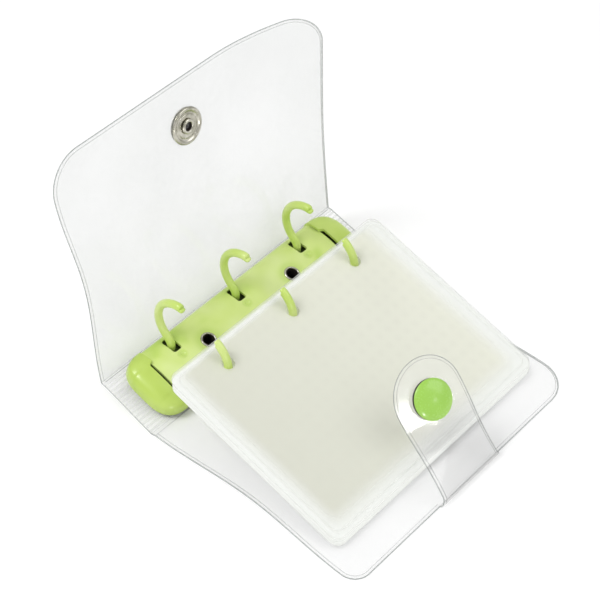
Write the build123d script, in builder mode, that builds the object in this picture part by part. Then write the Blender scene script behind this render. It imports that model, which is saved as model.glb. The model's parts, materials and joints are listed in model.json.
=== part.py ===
from build123d import *
import math
import os

os.makedirs("parts", exist_ok=True)

# ---------------------------------------------------------------- overall sizes (mm)
cover_length = 75.6          # fold to fore-edge, both covers
cover_width = 100.4          # along the spine
cover_corner = 10.0          # rounded outer corners
waist_depth = 1.6            # how far the long edges draw in halfway along a cover
sheet = 0.6                  # clear sheet thickness
rim_width = 1.2              # welded rim round each cover
rim_height = 0.22
spine_width = 21.4           # fold to fold
spine_tilt = 15.0            # spine rises to the left of the back cover
front_lean = 75.0            # front cover stands this far above level, leaning back
fold_lap = 0.3               # how far a cover sheet runs past its fold line
fold_gap = 0.9               # spine sheet stops this far short of each fold line

# ---------------------------------------------------------------- ribs pressed in the spine
rib_pitch = 1.5
rib_width = 0.7
rib_height = 0.3
rib_count = 12

# ---------------------------------------------------------------- ring mechanism
ring_pitch = 28.0
wire = 2.5                   # ring wire diameter
ring_radius = 8.95           # to the middle of the wire
ring_offset = 5.1            # open half-ring centre from the middle of the spine
ring_height = 15.25          # open half-ring centre above the spine
tip_angle = 81.0             # free end of a half-ring, above level
root_angle = 62.0            # where a half-ring leaves its arc, below level
root_run = 1.8
root_bend = 3.5
root_turn = 50.0
plate_length = 75.0
plate_half = 10.4
plate_crown = 6.1
plate_shoulder = 4.3
plate_gauge = 0.8
mech_floor = sheet + rib_height
slot_inner = 3.3
slot_outer = 8.8
slot_width = 3.3
hinge_x = 9.0                # outer edge of a hinge plate, which it turns about
hinge_z = 1.8
hinge_slope = 15.0           # hinge plates while the rings stand open
hinge_gauge = 0.8
hinge_length = 64.0
hinge_gap = 0.3              # between the two hinge plates on the middle line
tip_step = 0.9               # interlocking step at the ring tips
rivet_pitch = 37.2
rivet_flange = 3.1
rivet_shank = 2.3
rivet_bore = 1.7
rivet_clear = 0.05           # rivet shank in its holes, on the radius
washer_radius = 4.0
lever_end = 45.4             # outer end of a lever from the middle
lever_gap = 1.0              # dark slit between plate and lever
lever_crown = 6.6
lever_half = 11.0

# ---------------------------------------------------------------- pages
page_width = 90.2
page_clear = 9.2             # how much shorter than a cover a page is
page_length = cover_length - page_clear
page_corner = 3.0
page_gauge = 0.5
page_gap = 0.08              # between one page and the next
page_step = page_gauge + page_gap
page_count = 6
page_hole = 3.5              # radius
page_margin = 7.6            # hole centre from the punched edge
page_slope = 14.2            # pages run down from the rings to the fore-edge
page_edge_height = 20.8      # punched edge of the top page above the table
strip_width = 12.0           # punched strip beside the pocket
seam = 1.8                   # welded seam round the pocket
film = 0.13
insert_gauge = 0.16
insert_play = 0.5

# ---------------------------------------------------------------- strap and snap
strap_half = 12.4
strap_gap = 0.3
strap_tip_half = 11.5
strap_rise = 45.0            # strap slope above level
strap_length = 39.2
strap_bend = 4.5             # radius where the strap leaves the cover
cap_station = 26.6           # snap centre from the fore-edge fold, along the strap
cap_radius = 6.1
cap_height = 2.6
snap_bore = 1.9
socket_radius = 5.1
stud_inset = 15.6            # snap centre from the front cover's fore-edge
stud_station = cover_length - stud_inset
stud_radius = 5.2
neck_radius = 2.0
neck_clear = 0.05

# ---------------------------------------------------------------- frames
tilt = math.radians(spine_tilt)
half_spine = spine_width / 2
mech = Plane(
    origin=(-half_spine * math.cos(tilt), 0, half_spine * math.sin(tilt)),
    x_dir=(math.cos(tilt), 0, -math.sin(tilt)),
    z_dir=(math.sin(tilt), 0, math.cos(tilt)),
)


def mech_point(x, y, z):
    """Place a point given in the mechanism's frame."""
    return mech.origin + mech.x_dir * x + mech.y_dir * y + mech.z_dir * z


def mech_section(y):
    """Plane across the mechanism at y, its own x and y running along the mechanism's x and z."""
    return Plane(origin=mech_point(0, y, 0), x_dir=mech.x_dir, z_dir=-mech.y_dir)


def finish(part, label):
    """Name a finished piece and write it out."""
    part.part.label = label
    export_step(part.part, "parts/" + label + ".step")


# ---------------------------------------------------------------- covers
def cover_outline(inset):
    """Draw a cover's outline: straight fold edge, drawn-in sides, rounded fore-edge corners."""
    half = cover_width / 2 - inset
    near = inset - fold_lap
    far = cover_length - inset
    round_start = cover_length - cover_corner
    radius = cover_corner - inset
    with BuildLine() as line:
        Line((near, -half), (near, half))
        Spline(
            (near, half), (cover_length * 0.42, half - waist_depth), (round_start, half),
            tangents=[(1, 0), (1, 0)],
        )
        RadiusArc((round_start, half), (far, half - radius), radius)
        Line((far, half - radius), (far, -half + radius))
        RadiusArc((far, -half + radius), (round_start, -half), radius)
        Spline(
            (round_start, -half), (cover_length * 0.42, -half + waist_depth), (near, -half),
            tangents=[(-1, 0), (-1, 0)],
        )
    return line.line


def build_cover(base, bore_station, label):
    """Clear sheet with a raised welded rim; a bore takes the snap where there is one."""
    with BuildPart() as cover:
        with BuildSketch(base):
            with BuildLine():
                add(cover_outline(0))
            make_face()
        extrude(amount=sheet + rim_height)
        with BuildSketch(base.offset(sheet)):
            with BuildLine():
                add(cover_outline(rim_width))
            make_face()
        extrude(amount=2 * rim_height, mode=Mode.SUBTRACT)
        if bore_station:
            with BuildSketch(base.offset(-1)):
                with Locations((bore_station, 0)):
                    Circle(neck_radius + neck_clear)
            extrude(amount=3, mode=Mode.SUBTRACT)
    finish(cover, label)


build_cover(Plane.XY, None, "back_cover")

# front cover: measured from the far fold of the spine, leaning back
lean = math.radians(front_lean)
front_inward = Vector(math.sin(lean), 0, math.cos(lean))
front_base = Plane(
    origin=mech_point(-half_spine, 0, 0) - front_inward * (sheet + rim_height),
    x_dir=(-math.cos(lean), 0, math.sin(lean)),
    z_dir=front_inward,
)
build_cover(front_base, stud_station, "front_cover")

# ---------------------------------------------------------------- spine
with BuildPart() as spine_panel:
    with BuildSketch(mech):
        Rectangle(spine_width - 2 * fold_gap, cover_width - 0.8)
    extrude(amount=sheet)
    with BuildSketch(mech.offset(sheet)):
        with GridLocations(rib_pitch, 1, rib_count, 1):
            SlotCenterToCenter(cover_width - 6, rib_width, rotation=90)
    extrude(amount=rib_height)
    with BuildSketch(mech.offset(-1)):
        with GridLocations(1, rivet_pitch, 1, 2):
            Circle(rivet_shank + rivet_clear)
    extrude(amount=4, mode=Mode.SUBTRACT)
finish(spine_panel, "spine_panel")


# ---------------------------------------------------------------- top plate
def arch_profile(half, shoulder, crown, floor):
    """Draw the closed outline under an arched plate, flat along the floor."""
    with BuildLine() as line:
        Polyline((half, floor), (-half, floor), (-half, shoulder - 1.4))
        ThreePointArc(
            (-half, shoulder - 1.4), (-half + 0.62, shoulder - 0.35), (-half + 1.7, shoulder + 0.15),
        )
        ThreePointArc((-half + 1.7, shoulder + 0.15), (0, crown), (half - 1.7, shoulder + 0.15))
        ThreePointArc(
            (half - 1.7, shoulder + 0.15), (half - 0.62, shoulder - 0.35), (half, shoulder - 1.4),
        )
        Line((half, shoulder - 1.4), (half, floor))
    return line.line


with BuildPart() as ring_top_plate:
    with BuildSketch(mech_section(plate_length / 2)):
        with BuildLine():
            add(arch_profile(plate_half, plate_shoulder, plate_crown, mech_floor))
        make_face()
        with BuildLine():
            add(arch_profile(
                plate_half - plate_gauge, plate_shoulder - plate_gauge,
                plate_crown - plate_gauge, mech_floor,
            ))
        make_face(mode=Mode.SUBTRACT)
        for side in (-1, 1):
            with Locations((side * (plate_half - 1.1), mech_floor + 0.2)):
                Rectangle(2.2, 0.4)
    extrude(amount=plate_length)
    with BuildSketch(mech.offset(mech_floor + 1)):
        for side in (-1, 1):
            with Locations((side * (slot_inner + slot_outer) / 2, 0)):
                with GridLocations(1, ring_pitch, 1, 3):
                    RectangleRounded(slot_outer - slot_inner, slot_width, 0.8)
        with GridLocations(1, rivet_pitch, 1, 2):
            Circle(rivet_shank + rivet_clear)
    extrude(amount=8, mode=Mode.SUBTRACT)
    with Locations(*[mech_point(-1.6, y, plate_crown + 1.0) for y in (-ring_pitch, 0, ring_pitch)]):
        Sphere(1.35, mode=Mode.SUBTRACT)
finish(ring_top_plate, "ring_top_plate")


# ---------------------------------------------------------------- hinge plates and half-rings
slope = math.radians(hinge_slope)


def hinge_plane(side):
    """Plane of one hinge plate: x runs from its outer edge to the middle line."""
    outward = mech_point(side * hinge_x, 0, hinge_z)
    run = mech.x_dir * (-side * math.cos(slope)) + mech.z_dir * math.sin(slope)
    lift = mech.x_dir * (side * math.sin(slope)) + mech.z_dir * math.cos(slope)
    return Plane(origin=outward, x_dir=run, z_dir=lift)


hinge_run = hinge_x - hinge_gap / 2 - 0.05


def build_hinge_plate(side, label):
    """Flat plate that carries three half-rings, notched round the rivets."""
    base = hinge_plane(side)
    with BuildPart() as plate:
        with BuildSketch(base.offset(-hinge_gauge / 2)):
            with Locations((hinge_run / 2, 0)):
                Rectangle(hinge_run, hinge_length)
            with Locations((hinge_run, -rivet_pitch / 2), (hinge_run, rivet_pitch / 2)):
                Circle(rivet_shank + 1.3, mode=Mode.SUBTRACT)
        extrude(amount=hinge_gauge)
    finish(plate, label)


build_hinge_plate(-1, "hinge_plate_left")
build_hinge_plate(1, "hinge_plate_right")


def build_half_ring(side, y, label):
    """Wire half-ring: arc, bent root standing on the hinge plate, stepped tip."""
    tip = math.radians(tip_angle)
    root = math.radians(root_angle)
    turned = root - math.radians(root_turn)
    section = mech_section(y)

    def on_arc(angle):
        return (
            side * (ring_offset + ring_radius * math.cos(angle)),
            ring_height + ring_radius * math.sin(angle),
        )

    def on_bend(angle):
        return (
            bend_start[0] - side * root_bend * (math.cos(angle) - math.cos(root)),
            bend_start[1] - root_bend * (math.sin(root) - math.sin(angle)),
        )

    leave = on_arc(-root)
    bend_start = (
        leave[0] - side * root_run * math.sin(root), leave[1] - root_run * math.cos(root),
    )
    bend_stop = on_bend(turned)
    plate_there = hinge_z + (hinge_x - abs(bend_stop[0])) * math.tan(slope)
    drop = (bend_stop[1] - plate_there) / (math.cos(turned) + math.sin(turned) * math.tan(slope))
    foot = (
        bend_stop[0] - side * drop * math.sin(turned), bend_stop[1] - drop * math.cos(turned),
    )
    top = on_arc(tip)
    top_point = mech_point(top[0], y, top[1])
    along = mech.x_dir * (-side * math.sin(tip)) + mech.z_dir * math.cos(tip)
    outward = mech.x_dir * (side * math.cos(tip)) + mech.z_dir * math.sin(tip)
    with BuildPart() as ring:
        with BuildLine(section) as path:
            Line(foot, bend_stop)
            ThreePointArc(bend_stop, on_bend((root + turned) / 2), bend_start)
            Line(bend_start, leave)
            ThreePointArc(leave, on_arc((tip - root) / 2), top)
        with BuildSketch(Plane(origin=top_point, x_dir=mech.y_dir, z_dir=along)):
            Circle(wire / 2)
        sweep(path=path.line)
        with BuildSketch(Plane(origin=top_point, x_dir=along, z_dir=outward * side)):
            Rectangle(2 * tip_step, 2 * wire)
        extrude(amount=wire, mode=Mode.SUBTRACT)
    finish(ring, label)


for side, hand in ((-1, "left"), (1, "right")):
    for row, place in ((-1, "near"), (0, "mid"), (1, "far")):
        build_half_ring(side, row * ring_pitch, "ring_" + hand + "_" + place)


# ---------------------------------------------------------------- rivets
def build_rivet(side, label):
    """Hollow rivet through plate and spine, flared at the top."""
    y = side * rivet_pitch / 2
    low = -1.0
    with BuildPart() as rivet:
        with BuildSketch(mech_section(y)):
            with BuildLine():
                Polyline(
                    (rivet_bore, low), (rivet_shank, low), (rivet_shank, plate_crown + 0.02),
                    (rivet_flange, plate_crown + 0.02), (rivet_flange - 0.15, plate_crown + 0.4),
                    (rivet_bore + 0.5, plate_crown + 0.55), (rivet_bore, plate_crown + 0.2),
                    (rivet_bore, low),
                )
            make_face()
        revolve(axis=Axis(mech_point(0, y, 0), mech.z_dir))
    finish(rivet, label)
    with BuildPart() as washer:
        with BuildSketch(mech.offset(-0.5)):
            with Locations((0, y)):
                Circle(washer_radius)
                Circle(rivet_shank + rivet_clear, mode=Mode.SUBTRACT)
        extrude(amount=0.48)
        chamfer(washer.edges().filter_by(GeomType.CIRCLE).sort_by(Axis.Z)[0], 0.1)
    finish(washer, label + "_washer")


build_rivet(-1, "rivet_near")
build_rivet(1, "rivet_far")


# ---------------------------------------------------------------- levers
def build_lever(side, label):
    """Curved end shell with a tongue reaching in under the plate end."""
    start = plate_length / 2 + lever_gap
    depth = lever_end - start
    tongue = 4.2
    with BuildPart() as lever:
        with BuildSketch(mech_section(side * start)):
            with BuildLine():
                add(arch_profile(lever_half, plate_shoulder + 0.3, lever_crown, mech_floor + 0.15))
            make_face()
        extrude(amount=-side * depth)
        with BuildSketch(mech):
            with Locations((0, side * (lever_end - 12))):
                Ellipse(lever_half + 0.2, 12)
            with Locations((0, side * (lever_end - 18))):
                Rectangle(4 * lever_half, 12)
        extrude(amount=12, mode=Mode.INTERSECT)
        with BuildSketch(mech_section(side * (start - 0.1))):
            with BuildLine():
                add(arch_profile(
                    lever_half - 0.9, plate_shoulder - 0.6, lever_crown - 0.9, mech_floor,
                ))
            make_face()
        extrude(amount=-side * (depth - 2.2), mode=Mode.SUBTRACT)
        with BuildSketch(mech.offset(mech_floor + 0.8)):
            with Locations((0, side * (start + lever_end - 1.5 - tongue) / 2)):
                Rectangle(13, lever_end - 1.5 - start + tongue)
        extrude(amount=0.8)
    finish(lever, label)


build_lever(-1, "lever_near")
build_lever(1, "lever_far")

# ---------------------------------------------------------------- pages
run_down = math.radians(page_slope)
page_dir = Vector(math.cos(run_down), 0, -math.sin(run_down))
page_up = Vector(math.sin(run_down), 0, math.cos(run_down))
ring_centre = mech_point(ring_offset, 0, ring_height)
top_corner = Vector(0, 0, page_edge_height)


def wire_station(depth):
    """Distance down the page plane at which the right half-rings cross a plane this deep."""
    to_centre = ring_centre - top_corner
    off_plane = to_centre.dot(page_up) + depth
    return to_centre.dot(page_dir) + math.sqrt(ring_radius ** 2 - off_plane ** 2)


def build_page(index):
    """Pocket page with three punched holes and a loose backing card."""
    depth = index * page_step + page_gauge
    edge = wire_station(depth - page_gauge / 2) - page_margin
    base = Plane(origin=top_corner + page_dir * edge - page_up * depth, x_dir=page_dir, z_dir=page_up)
    pocket_length = page_length - strip_width - seam
    pocket_mid = strip_width + pocket_length / 2
    number = str(index + 1)
    with BuildPart() as page:
        with BuildSketch(base):
            with Locations((page_length / 2, 0)):
                RectangleRounded(page_length, page_width, page_corner)
            with Locations((page_margin, 0)):
                with GridLocations(1, ring_pitch, 1, 3):
                    Circle(page_hole, mode=Mode.SUBTRACT)
        extrude(amount=page_gauge)
        with BuildSketch(base.offset(film)):
            with Locations((pocket_mid, 0)):
                Rectangle(pocket_length, page_width - 2 * seam)
        extrude(amount=page_gauge - 2 * film, mode=Mode.SUBTRACT)
        with BuildSketch(base.offset(page_gauge / 2)):
            with Locations((strip_width + 0.6, 0)):
                Rectangle(1.2, page_width - 2 * seam)
        extrude(amount=page_gauge, mode=Mode.SUBTRACT)
    finish(page, "page_" + number)
    with BuildPart() as card:
        with BuildSketch(base.offset(film + 0.02)):
            with Locations((pocket_mid, 0)):
                RectangleRounded(
                    pocket_length - 2 * insert_play, page_width - 2 * seam - 2 * insert_play, 1.5,
                )
        extrude(amount=insert_gauge)
    finish(card, "page_card_" + number)


for index in range(page_count):
    build_page(index)

# ---------------------------------------------------------------- closure strap and snap
rise = math.radians(strap_rise)
strap_root = Vector(cover_length + strap_gap + sheet, 0, 0.1)
bend_turn = math.radians(90 - strap_rise)
strap_dir = Vector(-math.cos(rise), 0, math.sin(rise))
strap_out = Vector(math.sin(rise), 0, math.cos(rise))
bend_end = strap_root + Vector(
    -strap_bend * (1 - math.cos(bend_turn)), 0, strap_bend * math.sin(bend_turn)
)
straight = strap_length - strap_bend * bend_turn
strap_tip = bend_end + strap_dir * straight
strap_flat = Plane(origin=strap_tip, x_dir=-strap_dir, z_dir=strap_out)
side_view = Plane(origin=(0, strap_half + 1, 0), x_dir=(1, 0, 0), z_dir=(0, -1, 0))


def strap_axis_point(station):
    """Point on the strap's outer face, by distance from the fold."""
    return bend_end + strap_dir * (station - strap_bend * bend_turn)


with BuildPart() as closure_strap:
    with BuildSketch(side_view):
        with BuildLine():
            Line((strap_root.X, strap_root.Z), (strap_root.X - sheet, strap_root.Z))
            RadiusArc(
                (strap_root.X - sheet, strap_root.Z),
                (bend_end.X - sheet * strap_out.X, bend_end.Z - sheet * strap_out.Z),
                -(strap_bend - sheet),
            )
            Line(
                (bend_end.X - sheet * strap_out.X, bend_end.Z - sheet * strap_out.Z),
                (strap_tip.X - sheet * strap_out.X, strap_tip.Z - sheet * strap_out.Z),
            )
            Line(
                (strap_tip.X - sheet * strap_out.X, strap_tip.Z - sheet * strap_out.Z),
                (strap_tip.X, strap_tip.Z),
            )
            Line((strap_tip.X, strap_tip.Z), (bend_end.X, bend_end.Z))
            RadiusArc((bend_end.X, bend_end.Z), (strap_root.X, strap_root.Z), strap_bend)
        make_face()
    extrude(amount=2 * strap_half + 2)
    with BuildSketch(strap_flat.offset(-40)):
        with BuildLine():
            tip_run = strap_tip_half
            Line((strap_length + 30, -strap_half), (strap_length + 30, strap_half))
            Line((strap_length + 30, strap_half), (strap_length - 4, strap_half))
            Spline(
                (strap_length - 4, strap_half), (tip_run, strap_tip_half),
                tangents=[(-1, 0), (-1, 0)],
            )
            RadiusArc((tip_run, strap_tip_half), (tip_run, -strap_tip_half), -strap_tip_half)
            Spline(
                (tip_run, -strap_tip_half), (strap_length - 4, -strap_half),
                tangents=[(1, 0), (1, 0)],
            )
            Line((strap_length - 4, -strap_half), (strap_length + 30, -strap_half))
        make_face()
    extrude(amount=60, mode=Mode.INTERSECT)
    with BuildSketch(Plane(origin=strap_axis_point(cap_station), x_dir=-strap_dir, z_dir=strap_out)):
        Circle(neck_radius + neck_clear)
    extrude(amount=-2, mode=Mode.SUBTRACT)
finish(closure_strap, "closure_strap")

cap_plane = Plane(origin=strap_axis_point(cap_station), x_dir=-strap_dir, z_dir=strap_out)
cap_side = Plane(origin=cap_plane.origin, x_dir=cap_plane.x_dir, z_dir=(0, -1, 0))
snap_axis = Axis(cap_plane.origin, strap_out)

with BuildPart() as strap_snap_ring:
    with BuildSketch(cap_plane.offset(0.02)):
        Circle(cap_radius - 0.9)
        Circle(neck_radius + neck_clear, mode=Mode.SUBTRACT)
    extrude(amount=0.7)
finish(strap_snap_ring, "strap_snap_ring")

dome_rise = cap_height - 1.0
dome_radius = (cap_radius ** 2 + dome_rise ** 2) / (2 * dome_rise)
dome_sag = dome_radius - math.sqrt(dome_radius ** 2 - cap_radius ** 2 / 4)
with BuildPart() as strap_snap_cap:
    with BuildSketch(cap_side):
        with BuildLine():
            Polyline(
                (0, -sheet - 0.5), (neck_radius, -sheet - 0.5), (neck_radius, 0.75),
                (cap_radius - 0.5, 0.75), (cap_radius - 0.5, 0.55), (cap_radius, 0.7),
                (cap_radius, 1.0),
            )
            ThreePointArc(
                (cap_radius, 1.0), (cap_radius / 2, cap_height - dome_sag), (0, cap_height),
            )
            Line((0, cap_height), (0, -sheet - 0.5))
        make_face()
    revolve(axis=snap_axis)
finish(strap_snap_cap, "strap_snap_cap")

with BuildPart() as strap_snap_socket:
    with BuildSketch(cap_plane.offset(-sheet - 0.02)):
        Circle(socket_radius)
        Circle(neck_radius + neck_clear, mode=Mode.SUBTRACT)
    extrude(amount=-0.5)
    with BuildSketch(cap_plane.offset(-sheet - 0.5)):
        Circle(3.6)
        Circle(2.7, mode=Mode.SUBTRACT)
    extrude(amount=-1.9)
finish(strap_snap_socket, "strap_snap_socket")

stud_plane = Plane(
    origin=front_base.origin + front_base.x_dir * stud_station,
    x_dir=front_base.x_dir, z_dir=front_base.z_dir,
)
stud_side = Plane(origin=stud_plane.origin, x_dir=stud_plane.x_dir, z_dir=(0, 1, 0))
stud_axis = Axis(stud_plane.origin, stud_plane.z_dir)

with BuildPart() as cover_snap_plate:
    with BuildSketch(stud_side):
        with BuildLine():
            Polyline(
                (neck_radius + neck_clear, sheet + 0.02), (stud_radius, sheet + 0.02),
                (stud_radius, sheet + 0.45), (stud_radius - 0.5, sheet + 0.8),
                (stud_radius - 1.2, sheet + 0.8), (stud_radius - 1.7, sheet + 0.45),
                (neck_radius + neck_clear, sheet + 0.45), (neck_radius + neck_clear, sheet + 0.02),
            )
        make_face()
    revolve(axis=stud_axis)
finish(cover_snap_plate, "cover_snap_plate")

with BuildPart() as cover_snap_post:
    with BuildSketch(stud_side):
        with BuildLine():
            Polyline(
                (1.1, -0.5), (stud_radius - 0.6, -0.5), (stud_radius - 0.3, -0.02),
                (neck_radius, -0.02), (neck_radius, sheet + 0.5), (neck_radius + 0.6, sheet + 0.5),
                (neck_radius + 0.6, sheet + 1.3), (neck_radius, sheet + 1.7), (1.4, sheet + 1.7),
                (1.1, sheet + 1.3), (1.1, -0.5),
            )
        make_face()
    revolve(axis=stud_axis)
finish(cover_snap_post, "cover_snap_post")
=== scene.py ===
"""Small clear-covered stamp album, standing open on a pale table.

Built in millimetres from named sizes and put into the shared frame in metres.
The flexible cover is three clear sheets joined by fold strips, the ring
mechanism is painted steel, the pages are frosted pocket film, and a strap with
a snap closes the album.
"""

from __future__ import annotations

import json
import logging
import math
from dataclasses import dataclass, field
from enum import Enum

import bmesh
import bpy
import numpy as np
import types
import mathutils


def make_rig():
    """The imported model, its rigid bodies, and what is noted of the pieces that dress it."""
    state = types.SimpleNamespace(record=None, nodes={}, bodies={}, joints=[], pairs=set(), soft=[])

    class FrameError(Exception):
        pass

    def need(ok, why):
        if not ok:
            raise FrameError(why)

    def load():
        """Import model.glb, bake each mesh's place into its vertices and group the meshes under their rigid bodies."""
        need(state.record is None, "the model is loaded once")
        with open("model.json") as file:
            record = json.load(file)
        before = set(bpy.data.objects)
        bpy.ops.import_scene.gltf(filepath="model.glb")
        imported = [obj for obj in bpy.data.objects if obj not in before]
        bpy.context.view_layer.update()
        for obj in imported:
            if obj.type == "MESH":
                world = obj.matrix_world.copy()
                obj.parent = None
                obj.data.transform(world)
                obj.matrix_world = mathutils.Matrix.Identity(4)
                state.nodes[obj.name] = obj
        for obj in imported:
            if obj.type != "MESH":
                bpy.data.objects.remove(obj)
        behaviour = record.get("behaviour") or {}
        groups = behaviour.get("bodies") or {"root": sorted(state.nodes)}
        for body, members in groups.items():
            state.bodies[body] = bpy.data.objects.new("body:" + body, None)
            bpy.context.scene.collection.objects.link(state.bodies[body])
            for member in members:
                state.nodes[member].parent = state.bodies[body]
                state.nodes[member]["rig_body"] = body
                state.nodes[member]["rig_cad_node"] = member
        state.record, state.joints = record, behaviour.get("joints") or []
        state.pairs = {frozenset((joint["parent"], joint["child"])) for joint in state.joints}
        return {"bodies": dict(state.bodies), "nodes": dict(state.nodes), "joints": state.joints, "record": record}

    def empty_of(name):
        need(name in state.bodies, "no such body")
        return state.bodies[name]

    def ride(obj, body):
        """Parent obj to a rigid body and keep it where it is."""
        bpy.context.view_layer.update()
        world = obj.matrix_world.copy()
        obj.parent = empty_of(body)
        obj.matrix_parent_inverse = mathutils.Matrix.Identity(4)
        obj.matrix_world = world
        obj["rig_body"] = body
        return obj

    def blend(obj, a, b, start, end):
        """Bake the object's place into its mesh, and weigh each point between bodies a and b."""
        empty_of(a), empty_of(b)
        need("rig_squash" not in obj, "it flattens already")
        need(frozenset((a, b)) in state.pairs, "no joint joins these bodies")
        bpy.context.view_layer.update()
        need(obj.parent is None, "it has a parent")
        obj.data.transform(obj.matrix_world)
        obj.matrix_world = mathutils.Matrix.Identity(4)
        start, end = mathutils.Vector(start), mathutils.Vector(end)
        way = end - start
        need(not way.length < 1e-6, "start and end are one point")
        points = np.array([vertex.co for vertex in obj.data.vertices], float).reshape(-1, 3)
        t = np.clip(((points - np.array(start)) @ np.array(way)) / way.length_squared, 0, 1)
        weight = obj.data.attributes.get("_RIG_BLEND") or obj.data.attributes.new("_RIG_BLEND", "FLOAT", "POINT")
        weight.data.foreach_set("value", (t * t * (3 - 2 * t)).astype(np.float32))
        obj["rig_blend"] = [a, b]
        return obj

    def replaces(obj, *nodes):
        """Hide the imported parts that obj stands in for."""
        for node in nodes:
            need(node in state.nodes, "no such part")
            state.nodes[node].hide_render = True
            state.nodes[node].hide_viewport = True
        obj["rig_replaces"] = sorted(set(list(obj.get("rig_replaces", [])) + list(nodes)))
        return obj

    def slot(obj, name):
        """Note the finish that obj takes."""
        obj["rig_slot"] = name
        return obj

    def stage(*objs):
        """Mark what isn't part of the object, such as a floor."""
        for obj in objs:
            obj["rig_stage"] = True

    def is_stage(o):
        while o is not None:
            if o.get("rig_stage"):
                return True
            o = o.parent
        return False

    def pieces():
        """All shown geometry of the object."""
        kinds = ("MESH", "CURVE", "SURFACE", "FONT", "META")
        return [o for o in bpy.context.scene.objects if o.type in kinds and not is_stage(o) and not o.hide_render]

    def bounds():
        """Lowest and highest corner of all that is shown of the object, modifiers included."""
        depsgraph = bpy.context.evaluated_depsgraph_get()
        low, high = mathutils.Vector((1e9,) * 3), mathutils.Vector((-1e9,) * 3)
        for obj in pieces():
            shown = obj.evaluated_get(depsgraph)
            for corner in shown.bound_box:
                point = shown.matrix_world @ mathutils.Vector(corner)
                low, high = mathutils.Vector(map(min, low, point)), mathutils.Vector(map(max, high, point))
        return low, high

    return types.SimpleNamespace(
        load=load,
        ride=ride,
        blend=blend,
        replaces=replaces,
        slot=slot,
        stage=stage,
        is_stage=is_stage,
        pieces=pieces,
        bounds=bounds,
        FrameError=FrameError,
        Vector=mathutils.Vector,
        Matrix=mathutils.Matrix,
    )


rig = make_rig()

MM = 0.001
SIZE_FILE = "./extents.json"
Array = np.ndarray
Colour = tuple[float, float, float]
log = logging.getLogger("stamp_album")


class Hand(Enum):
    """Which half of the ring mechanism a piece belongs to."""

    LEFT = -1
    RIGHT = 1


class Row(Enum):
    """Place of a ring along the spine."""

    NEAR = -1
    MID = 0
    FAR = 1


class Body(Enum):
    """The moving bodies that pieces ride on."""

    SPINE = "spine"
    BACK = "back_cover"
    FRONT = "front_cover"
    STRAP = "strap"
    LEFT_HALF = "left_half"
    RIGHT_HALF = "right_half"
    LEVER_NEAR = "lever_near"
    LEVER_FAR = "lever_far"
    PAGES = "pages"
    TOP_PAGE = "top_page"


# ------------------------------------------------------------------ geometry


@dataclass(frozen=True)
class Axes:
    """Origin and three unit directions, in millimetres."""

    origin: tuple[float, float, float]
    x: tuple[float, float, float]
    y: tuple[float, float, float]
    z: tuple[float, float, float]

    def place(self, local: Array) -> Array:
        """Carry local points into the row frame: origin + x*a + y*b + z*c.

        Args:
            local: points with their three coordinates last.

        Returns:
            The same points in the row frame, in millimetres.
        """
        turn = np.array([self.x, self.y, self.z])
        return np.asarray(local, float) @ turn + np.array(self.origin)

    def point(self, a: float, b: float, c: float) -> Array:
        """One local point in the row frame."""
        return self.place(np.array([a, b, c]))


@dataclass(frozen=True)
class Patch:
    """Points and quads of one surface before it becomes a mesh."""

    points: Array
    quads: Array


def join(patches: list[Patch]) -> Patch:
    """Put several surfaces into one, keeping each one's own points."""
    starts = np.cumsum([0] + [len(p.points) for p in patches[:-1]])
    quads = [p.quads + s for p, s in zip(patches, starts)]
    return Patch(np.concatenate([p.points for p in patches]), np.concatenate(quads))


def grid_quads(rows: int, cols: int, wrap_rows: bool = False, wrap_cols: bool = False) -> Array:
    """Quads of a grid of points numbered row by row.

    Args:
        rows: number of rows.
        cols: number of points in each row.
        wrap_rows: the last row meets the first.
        wrap_cols: the last column meets the first.

    Returns:
        One row of four point numbers for each quad.
    """
    r = np.arange(rows if wrap_rows else rows - 1)
    c = np.arange(cols if wrap_cols else cols - 1)
    i, j = np.meshgrid(r, c, indexing="ij")
    right, down = (j + 1) % cols, (i + 1) % rows
    quads = [i * cols + j, i * cols + right, down * cols + right, down * cols + j]
    return np.stack(quads, axis=-1).reshape(-1, 4)


def slab(top: Array, bottom: Array) -> Patch:
    """Closed sheet between two grids of the same shape, walled round its border.

    Args:
        top: outer face, rows x cols x 3.
        bottom: inner face, rows x cols x 3.

    Returns:
        The closed surface.
    """
    rows, cols = top.shape[:2]
    count = rows * cols
    index = np.arange(count).reshape(rows, cols)
    loop = np.concatenate([index[0, :-1], index[:-1, -1], index[-1, :0:-1], index[:0:-1, 0]])
    onward = np.roll(loop, -1)
    walls = np.stack([loop, loop + count, onward + count, onward], axis=-1)
    face = grid_quads(rows, cols)
    points = np.concatenate([top.reshape(-1, 3), bottom.reshape(-1, 3)])
    return Patch(points, np.concatenate([face[:, ::-1], face + count, walls]))


def unit(vectors: Array) -> Array:
    """Vectors scaled to length one."""
    return vectors / np.maximum(np.linalg.norm(vectors, axis=-1, keepdims=True), 1e-12)


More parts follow.
